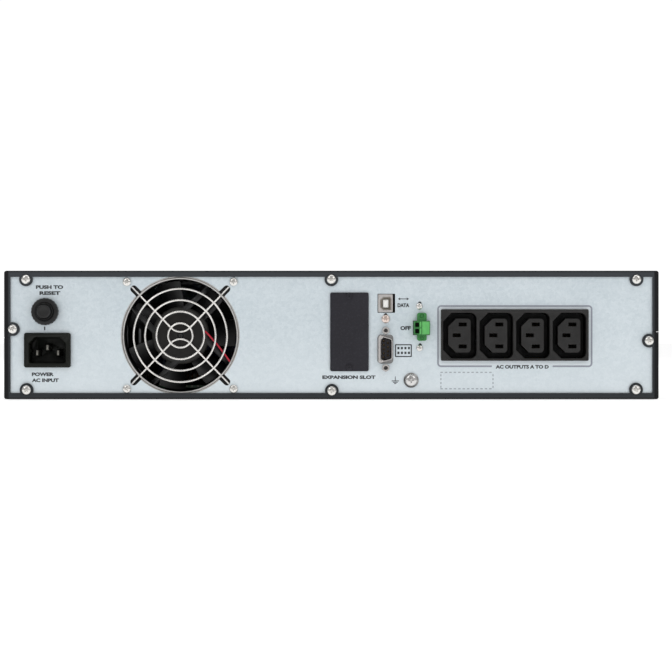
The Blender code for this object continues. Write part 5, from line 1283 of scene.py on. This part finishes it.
# ------------------------------------------------------------------ inside, seen through the vents and with the bezel off
fp = nbox("front_plate")
plate = piece(
    "front_bulkhead",
    prism(rounded(fp[0], fp[2], fp[3], fp[5], 1.0, 4), "Y", fp[1], fp[4]),
    "zinc",
    stands="front_plate",
    bevel=0.12,
    cut=[
        prism(rounded(-204.0, 10.0, 84.0, 70.0, 4.0, 6), "Y", 180.0, 193.0),
        prism(rounded(120.0, 30.0, 180.0, 60.0, 4.0, 6), "Y", 180.0, 193.0),
        [block(sx * 190.0 - 7.0, sx * 190.0 + 7.0, 180.0, 193.0, z - 2.3, z + 2.3) for sx in (-1, 1) for z in (5.6, 77.5)],
        holes([(-210.0, 43.0), (96.0, 20.0), (96.0, 66.0), (200.0, 43.0)], r=1.6, y0=180.0, y1=193.0),
    ],
)

MB = nbox("main_board")
piece("power_board", prism(rounded(MB[0], MB[1], MB[3], MB[4], 1.5, 4), "Z", MB[2], MB[5]), "board", stands="main_board", bevel=0.08, cut=[[rod(x, y, 1.9, MB[2] - 3, MB[5] + 3, 24, axis="Z") for x, y in ((-204.0, -164.0), (-204.0, -38.0), (20.0, -164.0), (20.0, -38.0))]])
top = MB[5]


def capacitor(x, y, r, h):
    return turned([(0.0, top + 0.1), (r, top + 0.1), (r, top + h - 0.4), (r - 0.4, top + h), (r - 1.0, top + h - 0.3), (0.0, top + h - 0.3)], x, y, 40, axis="Z")


caps, tops = [], []
for x, y, r, h in ((-112.0, -52.0, 8.0, 34.0), (-92.0, -52.0, 8.0, 34.0), (-72.0, -52.0, 8.0, 34.0), (-112.0, -74.0, 8.0, 34.0), (-52.0, -54.0, 5.5, 24.0), (-38.0, -54.0, 5.5, 24.0), (-120.0, -98.0, 5.0, 20.0), (-20.0, -92.0, 5.0, 20.0), (-6.0, -92.0, 5.0, 20.0)):
    caps.append(capacitor(x, y, r, h))
    tops.append(turned([(0.0, top + h - 0.25), (r - 1.2, top + h - 0.25), (r - 1.2, top + h - 0.1), (0.0, top + h + 0.05)], x, y, 32, axis="Z"))
piece("power_capacitors", caps, "sleeve", smooth=40)
piece("capacitor_tops", tops, "aluminium", smooth=40)
relays = []
for x, y in ((-30.0, -140.0), (-6.0, -140.0), (-54.0, -140.0)):
    relays.append(prism(rounded(x - 8.0, y - 7.0, x + 8.0, y + 7.0, 0.8, 3), "Z", top + 0.2, top + 15.0))
piece("board_relays", relays, "chip", bevel=0.4)
coils = []
for x, y, big in ((-92.0, -120.0, 10.0), (-78.0, -96.0, 8.0)):
    coils += [tube([(x + big * math.cos(t), y + big * math.sin(t), top + 5.5) for t in [2 * math.pi * k / 40 for k in range(40)]], 4.2, 16, closed=True)]
piece("choke_cores", coils, "core", smooth=70)
turns_w = []
for x, y, big in ((-92.0, -120.0, 10.0), (-78.0, -96.0, 8.0)):
    n = 26
    for k in range(n):
        t = 2 * math.pi * k / n
        u, v = math.cos(t), math.sin(t)
        ring_pts = []
        for q in range(20):
            p = 2 * math.pi * q / 20
            rr = big + 4.75 * math.cos(p)
            ring_pts.append((x + rr * u, y + rr * v, top + 5.5 + 4.75 * math.sin(p)))
        turns_w.append(tube(ring_pts, 0.45, 6, closed=True, up_hint=(-v, u, 0.0)))
piece("choke_windings", turns_w, metal_look("enamelled_copper", (0.17, 0.075, 0.035), 0.36), smooth=80)
chips = [prism(rounded(x - w / 2, y - h / 2, x + w / 2, y + h / 2, 0.2, 2), "Z", top + 0.3, top + 2.4) for x, y, w, h in ((-20.0, -118.0, 14.0, 10.0), (2.0, -116.0, 9.0, 7.0), (10.0, -70.0, 12.0, 12.0), (-16.0, -68.0, 8.0, 5.0), (10.0, -48.0, 6.0, 5.0))]
piece("board_chips", chips, "chip", bevel=0.15)
legs = []
for x, y, w, h in ((-20.0, -118.0, 14.0, 10.0), (2.0, -116.0, 9.0, 7.0), (10.0, -70.0, 12.0, 12.0), (-16.0, -68.0, 8.0, 5.0)):
    count = int(w / 1.27)
    for k in range(count):
        px = x - w / 2 + (k + 0.5) * w / count
        for s in (-1, 1):
            ya, yb2 = sorted((y + s * (h / 2 - 0.1), y + s * (h / 2 + 1.1)))
            legs.append(block(px - 0.2, px + 0.2, ya, yb2, top + 0.05, top + 0.3) if s > 0 else block(px - 0.2, px + 0.2, ya, yb2, top + 0.05, top + 0.3))
piece("chip_legs", legs, "tin", smooth=40)
terminals = []
for k in range(5):
    terminals.append(block(-206.0, -198.0, -150.0 + 14.0 * k, -149.2 + 14.0 * k, top, top + 9.0))
piece("board_tabs", terminals, "tin", bevel=0.12)

CB = nbox("comm_board")
piece("interface_board", prism(rounded(CB[1], CB[2], CB[4], CB[5], 1.5, 4), "X", CB[0], CB[3]), "board", stands="comm_board", bevel=0.08, cut=[[rod(y, z, 1.6, CB[0] - 3, CB[3] + 3, 20, axis="X") for y, z in ((CB[4] - 5.0, 19.0), (CB[4] - 5.0, 75.0), (CB[1] + 30.0, 75.0))]])
ic = [block(CB[3], CB[3] + 2.0, y - w / 2, y + w / 2, z - h / 2, z + h / 2) for y, z, w, h in ((-150.0, 50.0, 12.0, 12.0), (-170.0, 30.0, 10.0, 6.0), (-136.0, 28.0, 8.0, 5.0), (-160.0, 68.0, 8.0, 6.0))]
piece("interface_chips", ic, "chip", bevel=0.2)
sock = [block(CB[3], CB[3] + 7.0, -132.0, -126.0, 54.0, 74.0)]
piece("interface_socket", sock, "white", bevel=0.3, cut=[[block(CB[3] + 1.0, CB[3] + 9.0, -131.0, -127.0, 55.2 + 0.0, 72.8)]])

HS = nbox("heatsink")
comb = [(HS[0], HS[2])]
fins, pitch_f = 8, 9.0
comb = [(HS[0], HS[2]), (HS[0] + pitch_f * 7 + 2.4, HS[2])]
for k in reversed(range(8)):
    x = HS[0] + pitch_f * k
    comb += [(x + 2.4, 22.0), (x + 1.9, HS[5] - 0.4), (x + 1.5, HS[5]), (x + 0.9, HS[5]), (x + 0.5, HS[5] - 0.4), (x, 22.0)]
    if k:
        comb += [(x, 18.0), (x - 1.0, 17.0), (x - pitch_f + 2.4 + 1.0, 17.0), (x - pitch_f + 2.4, 18.0)]
clean = [comb[0]]
for p in comb[1:]:
    if math.dist(p, clean[-1]) > 0.01:
        clean.append(p)
piece("heatsink_fins", prism(clean, "Y", HS[1], HS[4]), "aluminium", stands="heatsink", bevel=0.15)
devices = [block(HS[0] + pitch_f * 7 + 2.4, HS[0] + pitch_f * 7 + 2.4 + 0.0001, 0, 1, 0, 1)][:0]
for k in range(5):
    y = -150.0 + 19.0 * k
    devices.append(block(HS[3] + 0.05, HS[3] + 4.3, y - 5.0, y + 5.0, 18.0, 34.0) if False else block(HS[3] + 0.3, HS[3] + 4.6, y - 5.0, y + 5.0, 16.0, 31.0))
piece("power_devices", devices, "chip", bevel=0.3)
dlegs = [block(HS[3] + 1.7, HS[3] + 2.3, -150.0 + 19.0 * k + 2.54 * s - 0.4, -150.0 + 19.0 * k + 2.54 * s + 0.4, top, 16.4) for k in range(5) for s in (-1, 0, 1)]
piece("power_device_legs", dlegs, "dark_metal", smooth=40)

TR = nbox("transformer")
lam = []
core = piece("mains_transformer", block(120.0, 190.0, 70.0, 112.0, 4.0, 62.0), "core", stands="transformer", bevel=0.4, cut=[[block(118.0, 192.0, 70.9 + 1.4 * k, 71.05 + 1.4 * k, 61.7, 64.0) for k in range(29)], [rod(x, z, 2.2, 60.0, 120.0, 24) for x in (125.0, 185.0) for z in (9.0, 57.0)]])
bobbin = loft([(54.0, rounded(134.6, 16.6, 175.4, 49.4, 6.0, 8)), (55.2, rounded(134.0, 16.0, 176.0, 50.0, 6.0, 8)), (69.6, rounded(134.0, 16.0, 176.0, 50.0, 6.0, 8))], "Y")
bobbin2 = loft([(112.4, rounded(134.0, 16.0, 176.0, 50.0, 6.0, 8)), (126.8, rounded(134.0, 16.0, 176.0, 50.0, 6.0, 8)), (128.0, rounded(134.6, 16.6, 175.4, 49.4, 6.0, 8))], "Y")
piece("transformer_winding", [bobbin, bobbin2], "tape", smooth=40)
bolts = []
for x in (125.0, 185.0):
    for z in (9.0, 57.0):
        bolts.append(prism(circle(x, z, 3.4, 6), "Y", 68.2, 70.0))
        bolts.append(prism(circle(x, z, 3.4, 6), "Y", 112.0, 113.8))
piece("transformer_bolts", bolts, "screw", bevel=0.2, smooth=25)

for i in (1, 2, 3):
    b = nbox(f"battery_{i}")
    bx, bz0, bz1, yb1 = b[0], b[2], b[5], b[4]
    by = yb1 - 94.0
    case_b = piece(
        f"battery_case_{i}",
        prism(rounded(bx, bz0, bx + 151.0, bz1, 2.0, 5), "Y", by, yb1),
        "battery",
        stands=f"battery_{i}",
        bevel=0.8,
        cut=[[block(bx - 2, bx + 153, by + 12.0 + 23.5 * k, by + 12.6 + 23.5 * k, bz1 - 0.4, bz1 + 3) for k in range(4)], [block(bx + 5.0, bx + 146.0, by - 2.0, by + 0.4, bz0 + 6.0, bz0 + 6.6), block(bx + 5.0, bx + 146.0, by - 2.0, by + 0.4, bz1 - 8.4, bz1 - 7.8)]],
    )
    tabs = []
    for t in (12.0, 139.0):
        tabs.append(prism(rounded(bx + t - 3.1, by - 6.0, bx + t + 3.1, by + 1.0, 1.0, 4), "Z", 54.05, 54.85))
    piece(f"battery_tabs_{i}", tabs, "tin", smooth=30)

BR = nbox("battery_bracket")
strap = [(BR[0], 68.0), (93.4, 68.0), (94.2, 67.6), (94.6, 66.8), (94.6, 4.2), (94.9, 3.4), (95.8, 3.0), (BR[3], 3.0), (BR[3], 4.2), (96.6, 4.2), (96.0, 4.4), (95.8, 5.0), (95.8, 67.6), (95.3, 68.7), (94.2, 69.2), (BR[0], 69.2)]
piece("battery_strap", prism(strap, "Y", BR[1], BR[4]), "zinc", stands="battery_bracket", bevel=0.12, cut=[[block(-214.0, 90.0, BR[1] + 8.0 + 9.0 * k, BR[1] + 8.5 + 9.0 * k, 69.05, 72.0) for k in range(3)], [rod(102.0, BR[1] + 8.0 + 18.0 * k, 1.9, 0.0, 8.0, 24, axis="Z") for k in range(2)]])

# ------------------------------------------------------------------ front bezel and its controls
FB = nbox("front_bezel")
back, front = FB[4] - (218.0 - 194.3), FB[4]
cavity = front - 3.4
W2, H = FB[3], FB[5]


def bezel_ring(inset, r=2.0):
    return rounded(-W2 + inset, inset, W2 - inset, H - inset, r, 8)


shell_rings = [(back, bezel_ring(0.0)), (front - 3.0, bezel_ring(0.0))]
for k in range(1, 7):
    a = math.radians(15 * k)
    shell_rings.append((front - 3.0 + 3.0 * math.sin(a), rounded(-W2 + 3.0 * (1 - math.cos(a)), 3.0 * (1 - math.cos(a)), W2 - 3.0 * (1 - math.cos(a)), H - 3.0 * (1 - math.cos(a)), 2.0 + 0.6 * math.sin(a), 8)))
hooks = []
for sx in (-1, 1):
    for z in (5.6, 77.5):
        x = sx * 190.0
        prof = [(cavity + 1.0, z - 1.1), (cavity + 1.0, z + 1.1), (184.5, z + 1.1), (184.5, z + 1.75), (183.9, z + 1.8), (183.4, z + 1.75), (180.5, z + 1.0), (180.5, z - 1.1)]
        hooks.append(prism(prof, "X", x - 5.5, x + 5.5))
vents_x = [-200.0 + 9.0 * i for i in range(22)] + [178.0 + 9.0 * i for i in range(4)]
vent_cut = []
for x in vents_x:
    slot_o = rounded(x - 1.5, 12.0, x + 1.5, 74.0, 1.45, 6)
    flare = rounded(x - 2.1, 11.4, x + 2.1, 74.6, 2.0, 6)
    vent_cut.append(loft([(cavity - 3, slot_o), (front - 0.9, slot_o), (front - 0.02, flare), (front + 4, flare)], "Y"))
WX0, WZ0, WX1, WZ1 = 18.0, 28.0, 92.0, 64.0
win_in = rounded(WX0 - 0.3, WZ0 - 0.3, WX1 + 0.3, WZ1 + 0.3, 2.2, 8)
win_out = rounded(WX0 - 1.2, WZ0 - 1.2, WX1 + 1.2, WZ1 + 1.2, 3.0, 8)
openings = [loft([(cavity - 3, win_in), (front - 0.8, win_in), (front - 0.02, win_out), (front + 4, win_out)], "Y")]
for bx, bz, r in ((150.0, 43.0, 8.0), (116.0, 43.0, 5.0)):
    openings.append(turned([(r + 0.4, cavity - 3), (r + 0.4, front - 1.0), (r + 1.3, front - 0.02), (r + 1.3, front + 4)], bx, bz, 64))
fascia = piece(
    "front_fascia",
    loft(shell_rings, "Y"),
    "bezel",
    body="bezel",
    stands="front_bezel",
    smooth=28,
    cut=[prism(rounded(-W2 + 3.0, 3.0, W2 - 3.0, H - 3.0, 0.8, 4), "Y", back - 5, cavity), vent_cut, openings],
)
combine(fascia, hooks, "UNION")
# A shallow line above and below the control area.
combine(fascia, [block(4.0, 172.0, front - 0.4, front + 2, z - 0.35, z + 0.35) for z in (12.5, 73.5)])
fascia.data.materials.clear()
fascia.data.materials.append(MATS["bezel"])
for poly in fascia.data.polygons:
    poly.use_smooth = True
fascia.data.set_sharp_from_angle(angle=math.radians(28))

w_out = rounded(WX0, WZ0, WX1, WZ1, 2.0, 8)
w_in = rounded(WX0 + 0.35, WZ0 + 0.35, WX1 - 0.35, WZ1 - 0.35, 1.8, 8)
DW = nbox("display_window")
piece("display_glass", loft([(DW[1], w_out), (DW[4] - 0.35, w_out), (DW[4], w_in)], "Y"), "window", body="bezel", stands="display_window", smooth=30)
DB = nbox("display_board")
piece("control_board", prism(rounded(DB[0], DB[2], DB[3], DB[5], 1.2, 4), "Y", DB[1], DB[4]), "board", body="bezel", stands="display_board", bevel=0.08, cut=[holes([(16.0, 24.0), (16.0, 64.0), (164.0, 24.0), (164.0, 64.0)], r=1.4, y0=DB[1] - 3, y1=DB[4] + 3)])
piece("display_module", [prism(rounded(22.0, 32.0, 88.0, 60.0, 1.0, 4), "Y", DB[4], DB[4] + 6.5)], "chip", body="bezel", bevel=0.3, cut=[[block(25.0, 85.0, DB[4] + 6.2, DB[4] + 9, 35.0, 57.0)]])
for key, x, z, r, node, body_n in (("power", 150.0, 43.0, 8.0, "power_button", "power_key"), ("menu", 116.0, 43.0, 5.0, "menu_button", "menu_key")):
    b = nbox(node)
    f = b[4]
    prof = [(0.0, f - 0.35), (r * 0.45, f - 0.30), (r * 0.8, f - 0.12), (r - 0.9, f), (r - 0.35, f - 0.15), (r, f - 0.7), (r, cavity - 1.6), (r + 1.4, cavity - 1.6), (r + 1.4, cavity - 3.0), (2.0, cavity - 3.0), (2.0, b[1] + 0.3), (1.7, b[1]), (0.0, b[1])]
    key_ob = piece(f"{key}_cap", turned(prof, x, z, 72), "button", body=body_n, stands=node, smooth=30)
    # A plain ring and bar, the standard on and off sign, or three small bars on the smaller key.
    marks = []
    if key == "power":
        ring_pts = [(x + 2.7 * math.cos(math.radians(t)), f - 0.2, z + 2.7 * math.sin(math.radians(t))) for t in range(125, 416, 10)]
        marks = [tube(ring_pts, 0.22, 10), block(x - 0.25, x + 0.25, f - 0.42, f - 0.02, z + 0.6, z + 3.6)]
    else:
        marks = [block(x - 1.6, x + 1.6, f - 0.42, f - 0.05, z + s - 0.2, z + s + 0.2) for s in (-0.9, 0.0, 0.9)]
    piece(f"{key}_mark", marks, "white", body=body_n, smooth=40)


# ------------------------------------------------------------------ camera, lights and floor
scene = bpy.context.scene
cam_data = bpy.data.cameras.new("camera")
cam_data.sensor_width = 36.0
cam_data.lens = 135.0
cam_data.clip_start = 0.05
cam_data.clip_end = 30.0
cam = bpy.data.objects.new("camera", cam_data)
scene.collection.objects.link(cam)
cam.location = (0.0031, -0.206 - 1.688, 0.0423)
cam.rotation_euler = (math.radians(90.0), 0.0, 0.0)
scene.camera = cam


def floor_look():
    n = Nodes("pale_floor")
    base = n.blend(n.span(n.noise(3.0, 3.0), 0.3, 0.7), (0.62, 0.62, 0.62), (0.65, 0.65, 0.65))
    n.link(base, n.bsdf.inputs["Base Color"])
    n.bsdf.inputs["Roughness"].default_value = 0.9
    n.bsdf.inputs["Specular IOR Level"].default_value = 0.1
    n.bsdf.inputs["Emission Color"].default_value = (1.0, 1.0, 1.0, 1.0)
    n.bsdf.inputs["Emission Strength"].default_value = 0.70
    return n.mat


floor_bm = bmesh.new()
bmesh.ops.create_grid(floor_bm, x_segments=2, y_segments=2, size=12.0)
floor = object_of(floor_bm, "floor")
floor.location = (0.0, 0.0, -0.0006)
floor.data.materials.append(floor_look())


def area(name, place, aim, size, power, size_y=None, colour=(1.0, 1.0, 1.0)):
    data = bpy.data.lights.new(name, "AREA")
    data.energy = power
    data.color = colour
    data.size = size
    if size_y:
        data.shape = "RECTANGLE"
        data.size_y = size_y
    obj = bpy.data.objects.new(name, data)
    scene.collection.objects.link(obj)
    obj.location = place
    obj.rotation_euler = (Vector(aim) - Vector(place)).to_track_quat("-Z", "Y").to_euler()
    return obj


area("key_left", (-1.3, -1.9, 1.5), (0.0, -0.2, 0.04), 1.1, 7.0, 0.9)
area("key_right", (1.3, -1.9, 1.3), (0.0, -0.2, 0.04), 1.1, 6.0, 0.9)
area("top", (0.0, -0.3, 1.9), (0.0, -0.15, 0.05), 1.6, 8.0, 1.0)
area("back", (0.0, 2.2, 1.4), (0.0, 0.2, 0.05), 1.6, 12.0, 1.0)
world = bpy.data.worlds.new("world")
scene.world = world
world.use_nodes = True
world.node_tree.nodes["Background"].inputs["Color"].default_value = (1.0, 1.0, 1.0, 1.0)
# The backdrop that the camera sees is plain white; the light it gives is softer.
tree = world.node_tree
sky = tree.nodes["Background"]
sky.inputs["Strength"].default_value = 0.42
seen = tree.nodes.new("ShaderNodeBackground")
seen.inputs["Color"].default_value = (1.0, 1.0, 1.0, 1.0)
seen.inputs["Strength"].default_value = 1.05
path = tree.nodes.new("ShaderNodeLightPath")
mix = tree.nodes.new("ShaderNodeMixShader")
tree.links.new(path.outputs["Is Camera Ray"], mix.inputs["Fac"])
tree.links.new(sky.outputs["Background"], mix.inputs[1])
tree.links.new(seen.outputs["Background"], mix.inputs[2])
tree.links.new(mix.outputs["Shader"], tree.nodes["World Output"].inputs["Surface"])
scene.view_settings.view_transform = "Standard"
scene.view_settings.look = "None"
